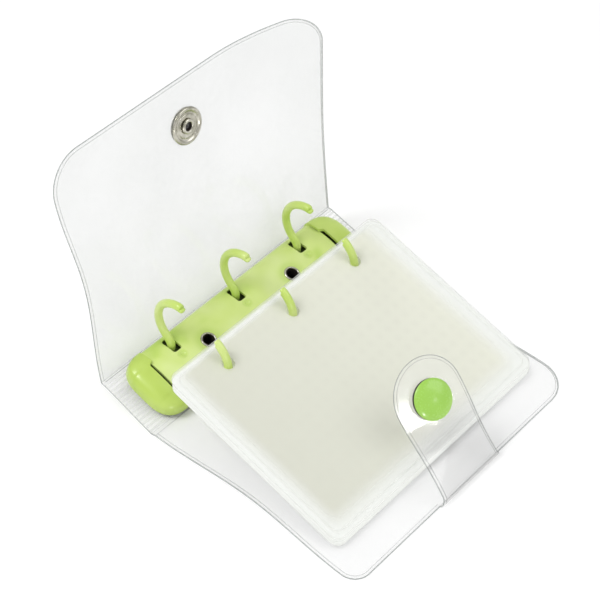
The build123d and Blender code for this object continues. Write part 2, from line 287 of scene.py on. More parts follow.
def bar(path: Array, up: Array, half_width: float, half_height: float,
        sides: int = 10, swell: Array | None = None) -> Patch:
    """Oval rod along a path: path + cos(a)*half_width*side + sin(a)*half_height*lift.

    Args:
        path: points along the middle of the rod.
        up: direction that the rod's height follows.
        half_width: half the rod's width, across up.
        half_height: half the rod's height, along up.
        sides: points round the rod.
        swell: factor on the section at each point of the path.

    Returns:
        The rod, its ends closed onto the path.
    """
    along = unit(np.gradient(path, axis=0))
    side = unit(np.cross(along, np.broadcast_to(up, path.shape)))
    lift = np.cross(side, along)
    a = np.linspace(0, 2 * math.pi, sides, endpoint=False)
    factor = np.ones(len(path)) if swell is None else swell
    rings = path[:, None] + factor[:, None, None] * (
        half_width * np.cos(a)[None, :, None] * side[:, None]
        + half_height * np.sin(a)[None, :, None] * lift[:, None]
    )
    ends = [np.repeat(path[k][None, None], sides, axis=1) for k in (0, -1)]
    rows = np.concatenate([ends[0], rings, ends[1]])
    return Patch(rows.reshape(-1, 3), grid_quads(len(rows), sides, wrap_cols=True))


def lathe(profile: Array, place: Axes, closed: bool, sides: int = 72) -> Patch:
    """Turned surface: each (radius, height) of the profile carried round the local z axis.

    Args:
        profile: radius and height pairs in order.
        place: axes whose z is the turning axis.
        closed: the profile's last point meets its first.
        sides: points round the axis.

    Returns:
        The turned surface.
    """
    a = np.linspace(0, 2 * math.pi, sides, endpoint=False)
    r, h = profile[:, 0][:, None], profile[:, 1][:, None]
    local = np.stack([r * np.cos(a), r * np.sin(a), h * np.ones_like(a)], axis=-1)
    quads = grid_quads(len(profile), sides, wrap_rows=closed, wrap_cols=True)
    return Patch(place.place(local).reshape(-1, 3), quads)


def rounded(corners: list[tuple[float, float]], radius: float, closed: bool = True) -> Array:
    """Polyline whose corners are replaced by short curved runs.

    Each corner becomes a quadratic curve that starts and ends radius away from it,
    or less where a side is short.

    Args:
        corners: the polyline's points.
        radius: how far a curve reaches from its corner.
        closed: the last point meets the first.

    Returns:
        The points of the softened line.
    """
    p = np.array(corners, float)
    before, after = np.roll(p, 1, axis=0) - p, np.roll(p, -1, axis=0) - p
    reach = [np.minimum(radius, np.linalg.norm(d, axis=1) * 0.45) for d in (before, after)]
    start = p + unit(before) * reach[0][:, None]
    stop = p + unit(after) * reach[1][:, None]
    if not closed:
        start[0] = stop[0] = p[0]
        start[-1] = stop[-1] = p[-1]
    t = np.linspace(0, 1, 5)[None, :, None]
    curve = (1 - t) ** 2 * start[:, None] + 2 * t * (1 - t) * p[:, None] + t**2 * stop[:, None]
    return curve.reshape(-1, 2)


def power(base: Array, exponent: float) -> Array:
    """Signed power: keeps the sign of the base."""
    return np.sign(base) * np.abs(base) ** exponent


def smooth(t: Array) -> Array:
    """Smooth step from 0 to 1: 3t^2 - 2t^3 of t held between 0 and 1."""
    t = np.clip(t, 0, 1)
    return t * t * (3 - 2 * t)


def hermite(p0: Array, t0: Array, p1: Array, t1: Array, s: Array) -> Array:
    """Cubic curve that leaves p0 along t0 and reaches p1 along t1.

    Args:
        p0: start point.
        t0: start direction and pull.
        p1: end point.
        t1: end direction and pull.
        s: places along the curve, 0 to 1.

    Returns:
        One point for each place.
    """
    s = s[:, None]
    return ((2 * s**3 - 3 * s**2 + 1) * p0 + (s**3 - 2 * s**2 + s) * t0
            + (3 * s**2 - 2 * s**3) * p1 + (s**3 - s**2) * t1)


def make_piece(name: str, patch: Patch, material: bpy.types.Material,
               sharp: float = 40.0) -> bpy.types.Object:
    """Turn a surface into an object at the origin, merged, facing outwards and dressed.

    Args:
        name: the piece's name.
        patch: its points in millimetres and its quads.
        material: its finish.
        sharp: edges that turn more than this, in degrees, stay crisp.

    Returns:
        The new object.
    """
    mesh = bpy.data.meshes.new(name)
    mesh.from_pydata((patch.points * MM).tolist(), [], patch.quads.tolist())
    work = bmesh.new()
    work.from_mesh(mesh)
    bmesh.ops.remove_doubles(work, verts=work.verts, dist=2e-7)
    bmesh.ops.dissolve_degenerate(work, edges=work.edges, dist=1e-8)
    bmesh.ops.recalc_face_normals(work, faces=work.faces)
    work.to_mesh(mesh)
    work.free()
    mesh.shade_smooth()
    mesh.set_sharp_from_angle(angle=math.radians(sharp))
    mesh.materials.append(material)
    piece = bpy.data.objects.new(name, mesh)
    bpy.context.scene.collection.objects.link(piece)
    return piece


def add(name: str, patch: Patch, material: bpy.types.Material, body: Body, slot: str,
        *nodes: str, sharp: float = 40.0) -> bpy.types.Object:
    """Make a piece and ride it on its body.

    Args:
        name: the piece's name.
        patch: its surface.
        material: its finish.
        body: the body that carries it.
        slot: the finish slot that it belongs to.
        *nodes: the CAD nodes that it stands for.
        sharp: edges that turn more than this, in degrees, stay crisp.

    Returns:
        The piece.
    """
    piece = make_piece(name, patch, material, sharp)
    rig.ride(piece, body.value)
    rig.slot(piece, slot)
    if nodes:
        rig.replaces(piece, *nodes)
    log.info("%s: %d faces", piece.name, len(piece.data.polygons))
    return piece


# ------------------------------------------------------------------ materials


class Shader:
    """A material's node tree, built one named node at a time."""

    def __init__(self, name: str) -> None:
        """Start an empty tree."""
        self.material = bpy.data.materials.new(name)
        self.material.use_nodes = True
        self.tree = self.material.node_tree
        self.tree.nodes.clear()

    def node(self, kind: str, /, **sockets: object) -> bpy.types.Node:
        """Add a node and fill its inputs, each with a constant or a link.

        Args:
            kind: the node's type without the ShaderNode prefix.
            **sockets: inputs by name, with underscores for spaces.

        Returns:
            The node.
        """
        made = self.tree.nodes.new("ShaderNode" + kind)
        for key, value in sockets.items():
            self.feed(made.inputs[key.replace("_", " ")], value)
        return made

    def feed(self, socket: bpy.types.NodeSocket, value: object) -> None:
        """Link or set one input."""
        if isinstance(value, bpy.types.NodeSocket):
            self.tree.links.new(value, socket)
        elif isinstance(value, tuple) and len(value) == 3 and socket.type == "RGBA":
            socket.default_value = (*value, 1.0)
        else:
            socket.default_value = value

    def coordinates(self, place: Axes | None = None) -> bpy.types.NodeSocket:
        """Object coordinates in metres, or measured in a piece's own axes.

        Args:
            place: axes to measure in.

        Returns:
            The vector socket.
        """
        out = self.node("TexCoord").outputs["Object"]
        if place is None:
            return out
        rows = [self.dot(out, place, axis) for axis in (place.x, place.y, place.z)]
        return self.node("CombineXYZ", X=rows[0], Y=rows[1], Z=rows[2]).outputs[0]

    def dot(self, point: bpy.types.NodeSocket, place: Axes,
            axis: tuple[float, float, float]) -> bpy.types.NodeSocket:
        """Distance of a point along one of a piece's axes, in metres."""
        shift = self.node("VectorMath")
        shift.operation = "SUBTRACT"
        self.feed(shift.inputs[0], point)
        shift.inputs[1].default_value = [v * MM for v in place.origin]
        made = self.node("VectorMath")
        made.operation = "DOT_PRODUCT"
        self.feed(made.inputs[0], shift.outputs[0])
        made.inputs[1].default_value = axis
        return made.outputs["Value"]

    def math(self, operation: str, a: object, b: object = 0.0,
             clamp: bool = False) -> bpy.types.NodeSocket:
        """One arithmetic step."""
        made = self.node("Math")
        made.operation = operation
        made.use_clamp = clamp
        self.feed(made.inputs[0], a)
        self.feed(made.inputs[1], b)
        return made.outputs[0]

    def noise(self, vector: bpy.types.NodeSocket, scale: float,
              detail: float = 3.0) -> bpy.types.NodeSocket:
        """Cloudy pattern between 0 and 1."""
        return self.node("TexNoise", Vector=vector, Scale=scale, Detail=detail).outputs["Fac"]

    def span(self, value: bpy.types.NodeSocket, low: float, high: float,
             to_low: float = 0.0, to_high: float = 1.0, soft: bool = False) -> bpy.types.NodeSocket:
        """Carry a value from one range to another, held at both ends."""
        made = self.node("MapRange", Value=value)
        made.interpolation_type = "SMOOTHSTEP" if soft else "LINEAR"
        made.clamp = True
        numbers = {"From Min": low, "From Max": high, "To Min": to_low, "To Max": to_high}
        for key, number in numbers.items():
            made.inputs[key].default_value = number
        return made.outputs["Result"]

    def blend(self, factor: object, a: object, b: object) -> bpy.types.NodeSocket:
        """Colour between two colours."""
        made = self.node("Mix")
        made.data_type = "RGBA"
        self.feed(made.inputs[0], factor)
        self.feed(made.inputs[6], a)
        self.feed(made.inputs[7], b)
        return made.outputs[2]

    def let_light_through(self, share: bpy.types.NodeSocket,
                          pass_on: float) -> bpy.types.NodeSocket:
        """Share of a thin film that stops light, less for light that it scatters onward.

        Args:
            share: what is seen of the film.
            pass_on: part of the light that the film would stop but hands on.

        Returns:
            The share to mix by.
        """
        path = self.node("LightPath")
        lit = self.math("MAXIMUM", path.outputs["Is Shadow Ray"], path.outputs["Is Diffuse Ray"])
        return self.math("MULTIPLY", share, self.span(lit, 0.0, 1.0, 1.0, 1.0 - pass_on))

    def bump(self, height: bpy.types.NodeSocket, strength: float, depth: float) -> bpy.types.NodeSocket:
        """Normal raised by a height pattern, depth in millimetres."""
        return self.node("Bump", Height=height, Strength=strength, Distance=depth * MM).outputs[0]

    def mix(self, factor: object, a: bpy.types.Node, b: bpy.types.Node) -> bpy.types.Node:
        """Mix of two shaders."""
        made = self.node("MixShader")
        self.feed(made.inputs[0], factor)
        self.feed(made.inputs[1], a.outputs[0])
        self.feed(made.inputs[2], b.outputs[0])
        return made

    def done(self, surface: bpy.types.Node) -> bpy.types.Material:
        """Send the surface to the output and hand over the material."""
        self.feed(self.node("OutputMaterial").inputs[0], surface.outputs[0])
        return self.material


def linear(r: int, g: int, b: int) -> Colour:
    """Screen colour, 0 to 255, as the linear values that shaders use."""
    values = np.array([r, g, b]) / 255
    out = np.where(values <= 0.04045, values / 12.92, ((values + 0.055) / 1.055) ** 2.4)
    return tuple(float(v) for v in out)


@dataclass(frozen=True)
class ClearPlastic:
    """Flexible clear sheet: mostly seen through, greyer where it is seen edge-on.

    Attributes:
        name: the material's name.
        tint: colour of what veil there is.
        veil: share of the surface that isn't seen through, face on.
        edge: further share when seen edge-on.
        gloss: strength of the mirror reflection.
        ripple: depth of the sheet's slight waves, in millimetres.
        ribs: distance between the ribs of a ribbed sheet, in millimetres, or 0; the veil is painted denser and thinner
            in bands along them as painted shade of the ribs.
        place: axes whose x the ribs are counted along.
        pass_on: part of the lamp and bounced light stopped by the veil that goes on.
    """

    name: str
    tint: Colour
    veil: float
    edge: float
    gloss: float = 1.0
    ripple: float = 0.25
    ribs: float = 0.0
    place: Axes | None = None
    pass_on: float = 0.85

    def make(self) -> bpy.types.Material:
        """Build the material."""
        s = Shader(self.name)
        spot = s.coordinates()
        broad = s.noise(spot, 22.0, 2.0)
        fine = s.noise(spot, 420.0, 4.0)
        normal = s.bump(broad, 0.35, self.ripple)
        facing = s.node("LayerWeight", Blend=0.5, Normal=normal).outputs["Facing"]
        rim = s.math("POWER", facing, 3.0)
        cloud = s.span(broad, 0.3, 0.7, self.veil * 0.75, self.veil * 1.25)
        # Painted shade of the ribs: the veil swings between a tenth and nearly twice its share at the rib pitch.
        if self.ribs:
            across = s.node("SeparateXYZ", Vector=s.coordinates(self.place)).outputs[0]
            turn = s.math("MULTIPLY", across, 2 * math.pi / (self.ribs * MM))
            band = s.span(s.math("COSINE", turn), -0.5, 0.5, 0.1, 1.9, soft=True)
            cloud = s.math("MULTIPLY", cloud, band)
        share = s.math("ADD", s.math("MULTIPLY", rim, self.edge), cloud, clamp=True)
        share = s.let_light_through(share, self.pass_on)
        pale = tuple(min(1.0, v * 1.06) for v in self.tint)
        colour = s.blend(s.span(fine, 0.35, 0.65), self.tint, pale)
        body = s.node("BsdfPrincipled", Base_Color=colour, Normal=normal, IOR=1.5,
                      Roughness=s.span(fine, 0.3, 0.7, 0.22, 0.34))
        sheet = s.mix(share, s.node("BsdfTransparent"), body)
        mirror = s.node("BsdfGlossy", Roughness=s.span(fine, 0.3, 0.7, 0.05, 0.09), Normal=normal)
        glint = s.math("ADD", s.math("MULTIPLY", s.math("POWER", facing, 5.0), 0.8), 0.02)
        return s.done(s.mix(s.math("MULTIPLY", glint, self.gloss, clamp=True), sheet, mirror))


@dataclass(frozen=True)
class Paint:
    """Smooth gloss paint on steel, with painted shade darkening its dished hollows.

    Attributes:
        name: the material's name.
        base: main colour.
        light: colour of the thinner patches.
        dark: colour of the fuller patches, and of the painted shade in the dishes.
        roughness: middle roughness.
        place: axes of the mechanism, in which the dishes round rivets and pressings lie.
        pools: spots along the spine where the plate is dished and darkened as painted shade, in millimetres.
    """

    name: str
    base: Colour
    light: Colour
    dark: Colour
    roughness: float = 0.3
    place: Axes | None = None
    pools: tuple[tuple[float, float, float], ...] = ()

    def make(self) -> bpy.types.Material:
        """Build the material."""
        s = Shader(self.name)
        spot = s.coordinates(self.place)
        broad = s.noise(spot, 70.0, 2.0)
        fine = s.noise(spot, 1500.0, 3.0)
        colour = s.blend(s.span(broad, 0.42, 0.7, soft=True), self.base, self.light)
        colour = s.blend(s.span(broad, 0.45, 0.28, soft=True), colour, self.dark)
        height = s.math("MULTIPLY", fine, 0.02)
        # Painted shade: round each dish the colour darkens towards dark, and the bump sinks.
        for x, y, reach in self.pools:
            away = s.node("VectorMath")
            away.operation = "DISTANCE"
            flat = s.node("SeparateXYZ", Vector=spot)
            level = s.node("CombineXYZ", X=flat.outputs[0], Y=flat.outputs[1])
            s.feed(away.inputs[0], level.outputs[0])
            away.inputs[1].default_value = (x * MM, y * MM, 0.0)
            near = s.span(away.outputs["Value"], reach * MM, reach * 0.45 * MM, soft=True)
            colour = s.blend(s.math("MULTIPLY", near, 0.6), colour, self.dark)
            height = s.math("SUBTRACT", height, near)
        rough = s.span(fine, 0.3, 0.7, self.roughness - 0.05, self.roughness + 0.07)
        body = s.node("BsdfPrincipled", Base_Color=colour, Roughness=rough,
                      Normal=s.bump(height, 0.6, 0.35), Coat_Weight=0.25, Coat_Roughness=0.12)
        return s.done(body)


@dataclass(frozen=True)
class Metal:
    """Plated steel with fine turning marks and faint stains.

    Attributes:
        name: the material's name.
        bright: clean colour.
        dull: stained colour.
        roughness: middle roughness.
        metallic: 1 for bare plating, 0 for lacquer.
    """

    name: str
    bright: Colour
    dull: Colour
    roughness: float = 0.24
    metallic: float = 1.0

    def make(self) -> bpy.types.Material:
        """Build the material."""
        s = Shader(self.name)
        spot = s.coordinates()
        stain = s.noise(spot, 380.0, 4.0)
        grain = s.noise(spot, 3200.0, 2.0)
        colour = s.blend(s.span(stain, 0.35, 0.65), self.bright, self.dull)
        rough = s.span(grain, 0.3, 0.7, self.roughness - 0.06, self.roughness + 0.08)
        body = s.node("BsdfPrincipled", Base_Color=colour, Roughness=rough,
                      Metallic=self.metallic, Normal=s.bump(grain, 0.12, 0.03))
        return s.done(body)


@dataclass(frozen=True)
class FrostedFilm:
    """Pocket film: clear at its welded margins, cloudy and cream over its field.

    The field's share is the product of four soft steps, one in from each side of the
    page, pushed in and out a little by a cloudy pattern.

    Attributes:
        name: the material's name.
        place: the page's own axes.
        length: page size from the punched edge to the fore-edge.
        half: half the page's width.
        margins: clear margins at the punched edge, fore-edge, near and far sides.
        clear: colour and share of the clear margin.
        cream: colour and share of the field.
        fades: width of the step from margin to field on each of the four sides.
        sway: how far the cloudy pattern pushes the steps, in millimetres.
        deepest: the field's colour at the near side, as a share of its colour at the far, as painted shade.
        pass_on: part of the lamp and bounced light stopped by the film that goes on.
    """

    name: str
    place: Axes
    length: float
    half: float
    margins: tuple[float, float, float, float]
    clear: tuple[Colour, float]
    cream: tuple[Colour, float]
    fades: tuple[float, float, float, float] = (2.0, 7.5, 6.5, 7.5)
    sway: float = 0.8
    deepest: float = 0.84
    pass_on: float = 0.8

    def make(self) -> bpy.types.Material:
        """Build the material."""
        s = Shader(self.name)
        spot = s.coordinates(self.place)
        parts = s.node("SeparateXYZ", Vector=spot)
        u, v = parts.outputs[0], parts.outputs[1]
        cloud = s.noise(spot, 130.0, 3.0)
        fine = s.noise(spot, 2600.0, 2.0)
        sway = s.math("MULTIPLY", s.math("SUBTRACT", cloud, 0.5), self.sway * MM)
        gaps = [
            u, s.math("SUBTRACT", self.length * MM, u),
            s.math("ADD", v, self.half * MM), s.math("SUBTRACT", self.half * MM, v),
        ]
        field_share = None
        for gap, margin, fade in zip(gaps, self.margins, self.fades):
            low, high = (margin - fade / 2) * MM, (margin + fade / 2) * MM
            step = s.span(s.math("ADD", gap, sway), low, high, soft=True)
            field_share = step if field_share is None else s.math("MULTIPLY", field_share, step)
        bands = []
        for way in ("X", "Y"):
            wave = s.node("TexWave", Vector=spot, Scale=78.0)
            wave.bands_direction = way
            bands.append(wave.outputs["Fac"])
        lattice = s.math("MULTIPLY", *bands)
        cream, cream_share = self.cream
        # Painted shade: the field darkens towards the near side of the page.
        near_shade_mask = s.span(v, self.half * MM, -self.half * MM)
        tone = s.blend(s.math("MULTIPLY", lattice, 0.5), cream, tuple(c * 0.93 for c in cream))
        tone = s.blend(near_shade_mask, tone, tuple(c * self.deepest for c in cream))
        colour = s.blend(field_share, self.clear[0], tone)
        share = s.span(field_share, 0.0, 1.0, self.clear[1], cream_share)
        share = s.let_light_through(share, self.pass_on)
        height = s.math("ADD", s.math("MULTIPLY", lattice, 0.4), s.math("MULTIPLY", fine, 0.3))
        rough = s.span(fine, 0.3, 0.7, 0.42, 0.56)
        body = s.node("BsdfPrincipled", Base_Color=colour, Roughness=rough,
                      Normal=s.bump(height, 0.25, 0.05), IOR=1.45)
        return s.done(s.mix(share, s.node("BsdfTransparent"), body))


# ------------------------------------------------------------------ shared places

SPINE_TILT = math.radians(15.0)
SPINE_WIDTH = 21.4
FRONT_LEAN = math.radians(75.0)
SHEET = 0.6
RIM = 0.22
BORDER_INSET = 0.12
WELD_INSET = 0.95
BEAD = 0.16
BEAD_SIDES = 8
RING_PITCH = 28.0
RING_RADIUS = 8.95
RING_CENTRE = (5.1, 15.25)
RIVET_PITCH = 37.2
ALONG = np.array([0.0, 1.0, 0.0])


def spine_axes() -> Axes:
    """Axes of the ring mechanism: x across the spine, y along it, z out of it."""
    c, s = math.cos(SPINE_TILT), math.sin(SPINE_TILT)
    middle = (-SPINE_WIDTH / 2 * c, 0.0, SPINE_WIDTH / 2 * s)
    return Axes(middle, (c, 0.0, -s), (0.0, 1.0, 0.0), (s, 0.0, c))


def front_axes() -> Axes:
    """Axes of the front cover: x up the cover, y along the spine, z to its inner side."""
    c, s = math.cos(FRONT_LEAN), math.sin(FRONT_LEAN)
    fold = spine_axes().point(-SPINE_WIDTH / 2, 0, 0)
    origin = fold - np.array([s, 0, c]) * (SHEET + RIM)
    return Axes(tuple(origin), (-c, 0.0, s), (0.0, 1.0, 0.0), (s, 0.0, c))


MECH = spine_axes()
FRONT = front_axes()
BACK = Axes((0.0, 0.0, 0.0), (1.0, 0.0, 0.0), (0.0, 1.0, 0.0), (0.0, 0.0, 1.0))


# ------------------------------------------------------------------ finishes


@dataclass
class Finishes:
    """Every material the album uses, made once."""

    cover: bpy.types.Material = field(init=False)
    front: bpy.types.Material = field(init=False)
    strap: bpy.types.Material = field(init=False)
    ribbed: bpy.types.Material = field(init=False)
    edge: bpy.types.Material = field(init=False)
    faint_edge: bpy.types.Material = field(init=False)
    page_edge: bpy.types.Material = field(init=False)
    green: bpy.types.Material = field(init=False)
    lever_green: bpy.types.Material = field(init=False)
    plate_green: bpy.types.Material = field(init=False)
    cap_green: bpy.types.Material = field(init=False)
    nickel: bpy.types.Material = field(init=False)
    dark: bpy.types.Material = field(init=False)
    inner_steel: bpy.types.Material = field(init=False)

    def __post_init__(self) -> None:
        """Make the materials."""
        grey = linear(205, 208, 206)
        self.cover = ClearPlastic("clear_cover", grey, 0.07, 0.1).make()
        self.front = ClearPlastic("clear_front_cover", grey, 0.19, 0.1).make()
        self.strap = ClearPlastic("clear_strap", linear(238, 238, 237), 0.09, 0.02, 1.4).make()
        self.ribbed = ClearPlastic("clear_ribbed_spine", linear(204, 207, 205), 0.13, 0.08,
                                   ribs=1.5, place=MECH).make()
        # Painted shade: the grey beads stand for the dark refraction at the edges and creases of the clear sheets.
        self.edge = ClearPlastic("welded_edge", linear(152, 158, 155), 0.46, 0.3, 0.5).make()
        self.faint_edge = ClearPlastic("inner_weld_line", linear(165, 168, 166), 0.32, 0.2, 0.5).make()
        self.page_edge = ClearPlastic("page_weld_line", linear(222, 224, 218), 0.4, 0.2, 0.4).make()
        base, light, dark = linear(190, 214, 104), linear(205, 222, 135), linear(165, 200, 72)
        self.green = Paint("green_paint", base, light, dark, 0.32).make()
        # Painted shade: the levers take a darker copy of the ring paint.
        deep = (linear(178, 203, 88), linear(190, 213, 108), linear(160, 192, 70))
        self.lever_green = Paint("lever_green_paint", *deep, 0.34).make()
        # Painted shade: dark spots round the rivets and under the ring slots of the plate.
        pools = tuple((0.0, side * RIVET_PITCH / 2, 5.6) for side in (-1, 1))
        pools += tuple((-1.6, row.value * RING_PITCH, 2.0) for row in Row)
        # Painted light: the plate takes a lighter copy of the ring paint.
        plate = (linear(204, 223, 130), linear(214, 230, 152), linear(182, 210, 96))
        self.plate_green = Paint("plate_green_paint", *plate, 0.34, MECH, pools).make()
        cap = (linear(152, 200, 80), linear(160, 207, 90), linear(142, 192, 70))
        self.cap_green = Paint("cap_green_paint", *cap, 0.24).make()
        self.nickel = Metal("nickel_plate", linear(205, 202, 190), linear(160, 158, 142)).make()
        # Painted shade: dark lining for the bores of rivets and snap post, and for the ring in the gap under the snap
        # cap.
        self.dark = Metal("dark_bore", linear(58, 50, 46), linear(34, 28, 26), 0.5, 0.3).make()
        # Painted shade: the hinge plates and lever tongues are dark so that the slots and hollows read as shaded.
        self.inner_steel = Metal("inner_plate", linear(96, 108, 58), linear(70, 82, 40), 0.5, 0.2).make()


# ------------------------------------------------------------------ cover sheets


@dataclass
class CoverSheet:
    """One clear cover with its border lines: grey edge beads of painted refraction shade, and its weld line.

    Attributes:
        name: which cover.
        body: the body it rides on.
        place: its axes, x from the fold to the fore-edge.
        length: fold to fore-edge.
        half: half its width at the fold.
        waists: how far the near and the far side draw in.
        corners: fore-edge corner radius at the near and the far side.
        flare: how far the far outer corner curls inwards.
        strap_gap: half the width the strap takes of the fore-edge, or 0.
        start: distance from the fold at which the sheet begins.
        curl_start: distance over the middle at which the curl begins.
        curl_run: distance from there to the curl's full height.
    """

    name: str
    body: Body
    place: Axes
    length: float = 75.6
    half: float = 50.6
    waists: tuple[float, float] = (1.9, 1.9)
    corners: tuple[float, float] = (11.5, 11.5)
    flare: float = 0.0
    strap_gap: float = 0.0
    start: float = 0.4
    curl_start: float = 14.0
    curl_run: float = 36.0

    def side(self, far: int, inset: float, steps: int = 48) -> tuple[Array, Array]:
        """Half-width along one side: drawn in by a squared sine, then a corner arc.

        Args:
            far: 0 for the near side, 1 for the far one.
            inset: distance in from the border.
            steps: points along the straight part.

        Returns:
            Distances from the fold, and the half-width at each.
        """
        straight = self.length - self.corners[far]
        u = np.linspace(self.start, straight, steps)
        waist = self.waists[far] * np.sin(math.pi * u / straight) ** 2
        w = self.half - 0.4 * smooth(u / 40) - waist - inset
        a = np.linspace(0, math.pi / 2, 18)[1:]
        radius = self.corners[far] - inset
        corner_u = straight + radius * np.sin(a)
        corner_w = w[-1] - radius + radius * np.cos(a)
        return np.concatenate([u, corner_u]), np.concatenate([w, corner_w])

    def curl(self, u: Array, v: Array) -> Array:
        """Lift of the sheet: flare * (u/length)^1.2 * a soft step over the far side."""
        reach = np.clip((v - self.curl_start) / self.curl_run, 0, 1.1) ** 2
        return self.flare * np.clip(u / self.length, 0, 1) ** 1.2 * reach

    def surface(self, u: Array, v: Array, height: Array | float) -> Array:
        """Row-frame points of the sheet at u, v and a height over its outer face."""
        lift = height + self.curl(u, v)
        return self.place.place(np.stack(np.broadcast_arrays(u, v, lift), axis=-1))

    def sheet(self) -> Patch:
        """The sheet itself: each row runs from the near border to the far one, SHEET thick."""
        (u0, w0), (u1, w1) = self.side(0, BORDER_INSET), self.side(1, BORDER_INSET)
        t = np.linspace(0, 1, 57)[None, :]
        v = w1[:, None] * t - w0[:, None] * (1 - t)
        across = u1[:, None] * t + u0[:, None] * (1 - t)
        return slab(self.surface(across, v, SHEET), self.surface(across, v, 0.05))

    def outline(self, inset: float) -> list[tuple[Array, Array]]:
        """Border lines at an inset: near side, corner, fore-edge, corner, far side."""
        (u0, w0), (u1, w1) = self.side(0, inset), self.side(1, inset)
        gap = self.strap_gap
        if not gap:
            run = np.linspace(-w0[-1], w1[-1], 24)[1:-1]
            edge = np.full_like(run, u0[-1])
            return [(np.concatenate([u0, edge, u1[::-1]]), np.concatenate([-w0, run, w1[::-1]]))]
        lines = []
        for way, u, w in ((-1, u0, w0), (1, u1, w1)):
            run = np.linspace(w[-1], gap, 12)[1:]
            along = np.concatenate([u, np.full_like(run, u[-1])])
            lines.append((along, way * np.concatenate([w, run])))
        return lines

    def line(self, inset: float, height: float, radius: float) -> Patch:
        """Thin bead along the border at an inset and height."""
        up = np.array(self.place.z)
        paths = [self.surface(u, v, height) for u, v in self.outline(inset)]
        return join([bar(path, up, radius, radius, BEAD_SIDES) for path in paths])

    def build(self, finishes: Finishes, sheet_finish: bpy.types.Material) -> None:
        """Make the sheet and its border lines.

        Args:
            finishes: the album's materials.
            sheet_finish: the sheet's own material.
        """
        add(self.name + "_sheet", self.sheet(), sheet_finish, self.body, "clear_sheet", self.name)
        # The outer beads are grey as painted shade of the refraction at the sheet's edge.
        outer = join([self.line(BORDER_INSET, SHEET * 0.5, BEAD), self.line(0.3, 0.1, 0.08)])
        add(self.name + "_border", outer, finishes.edge, self.body, "clear_sheet")
        inner = self.line(WELD_INSET, SHEET + 0.02, 0.10)
        add(self.name + "_weld", inner, finishes.faint_edge, self.body, "clear_sheet")


@dataclass
class SpineSheet:
    """Ribbed clear sheet under the mechanism.

    Attributes:
        half_run: half its width from fold to fold.
        half: half its length along the spine, before it widens.
        rib_pitch: distance between ribs.
        rib_height: height of a rib.
        ribs: number of ribs.
    """

    half_run: float = 9.8
    half: float = 50.3
    rib_pitch: float = 1.5
    rib_height: float = 0.3
    ribs: int = 12

    def half_width(self, x: Array) -> Array:
        """Half the spine's width: a little wider towards the back cover."""
        run = self.half_run
        return self.half + 0.35 + 0.4 * smooth((x + run) / (2 * run)) - BORDER_INSET

    def build(self, finishes: Finishes) -> None:
        """Make the ribbed sheet and the lines at its two ends.

        The upper face is sheet + rib_height * cos^4 of the distance over the rib pitch,
        eased down near both ends.

        Args:
            finishes: the album's materials.
        """
        x = np.linspace(-self.half_run, self.half_run, 20 * 10 + 1)
        t = np.linspace(-1, 1, 61)
        w = self.half_width(x)
        y = w[:, None] * t[None, :]
        xx = np.broadcast_to(x[:, None], y.shape)
        ribbed = np.abs(x) < self.ribs * self.rib_pitch / 2
        wave = np.cos(math.pi * (x / self.rib_pitch + 0.5)) ** 4 * ribbed
        ease = smooth((w[:, None] - 1.6 - np.abs(y)) / 1.0)
        top = SHEET + self.rib_height * wave[:, None] * ease
        faces = [np.stack([xx, y, z], axis=-1) for z in (top, np.full_like(y, 0.04))]
        patch = slab(*[MECH.place(face) for face in faces])
        add("spine_sheet", patch, finishes.ribbed, Body.SPINE, "clear_sheet", "spine_panel")
        rows = []
        for side in (-1, 1):
            run = x[::10]
            path = np.stack([run, side * self.half_width(run), np.full_like(run, SHEET / 2)], axis=-1)
            rows.append(bar(MECH.place(path), np.array(MECH.z), BEAD, BEAD, BEAD_SIDES))
        add("spine_border", join(rows), finishes.edge, Body.SPINE, "clear_sheet")


@dataclass
class FoldStrip:
    """Short bent strip that carries the clear sheet across one fold.

    Attributes:
        name: the strip's name.
        bodies: the two bodies it joins.
        start: its first cross-section's middle and direction, in the row frame.
        stop: its last cross-section's middle and direction.
        half: half-width at its start and stop.
        crease: draw the line pressed along the fold.
    """

    name: str
    bodies: tuple[Body, Body]
    start: tuple[Array, Array]
    stop: tuple[Array, Array]
    half: tuple[float, float]
    crease: bool = False

    def build(self, finishes: Finishes, sheet_finish: bpy.types.Material) -> None:
        """Make the strip, its border lines and its crease, all bending with the fold.

        The middle follows a cubic curve from start to stop, and the sheet stands
        SHEET thick to both sides of it.

        Args:
            finishes: the album's materials.
            sheet_finish: the strip's own material.
        """
        (p0, d0), (p1, d1) = self.start, self.stop
        pull = np.linalg.norm(p1 - p0)
        s = np.linspace(0, 1, 13)
        mid = hermite(p0, d0 * pull, p1, d1 * pull, s)
        along = unit(np.gradient(mid, axis=0))
        out = np.cross(along, ALONG)
        w = self.half[0] + (self.half[1] - self.half[0]) * s
        t = np.linspace(-1, 1, 57)
        y = (w[:, None] * t[None, :])[..., None] * ALONG
        faces = [mid[:, None] + y + out[:, None] * h for h in (-SHEET / 2, SHEET / 2)]
        self.dress(make_piece(self.name + "_sheet", slab(*faces), sheet_finish))
        ends = [mid + np.outer(side * w, ALONG) for side in (-1, 1)]
        lines = [bar(path, ALONG, BEAD, BEAD, BEAD_SIDES) for path in ends]
        self.dress(make_piece(self.name + "_border", join(lines), finishes.edge))
        if self.crease:
            reach = np.linspace(-1, 1, 30) * (min(self.half) - 1)
            half_way = len(s) // 2
            path = mid[half_way] - out[half_way] * (SHEET / 2) + np.outer(reach, ALONG)
            line = bar(path, out[half_way], 0.12, 0.1, BEAD_SIDES)
            self.dress(make_piece(self.name + "_crease", line, finishes.edge))

    def dress(self, piece: bpy.types.Object) -> None:
        """Let a piece bend between the strip's two bodies and name its slot."""
        a, b = (body.value for body in self.bodies)
        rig.slot(piece, "clear_sheet")
        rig.blend(piece, a, b, start=tuple(self.start[0] * MM), end=tuple(self.stop[0] * MM))
        log.info("%s: %d faces", piece.name, len(piece.data.polygons))


# ------------------------------------------------------------------ strap and snap


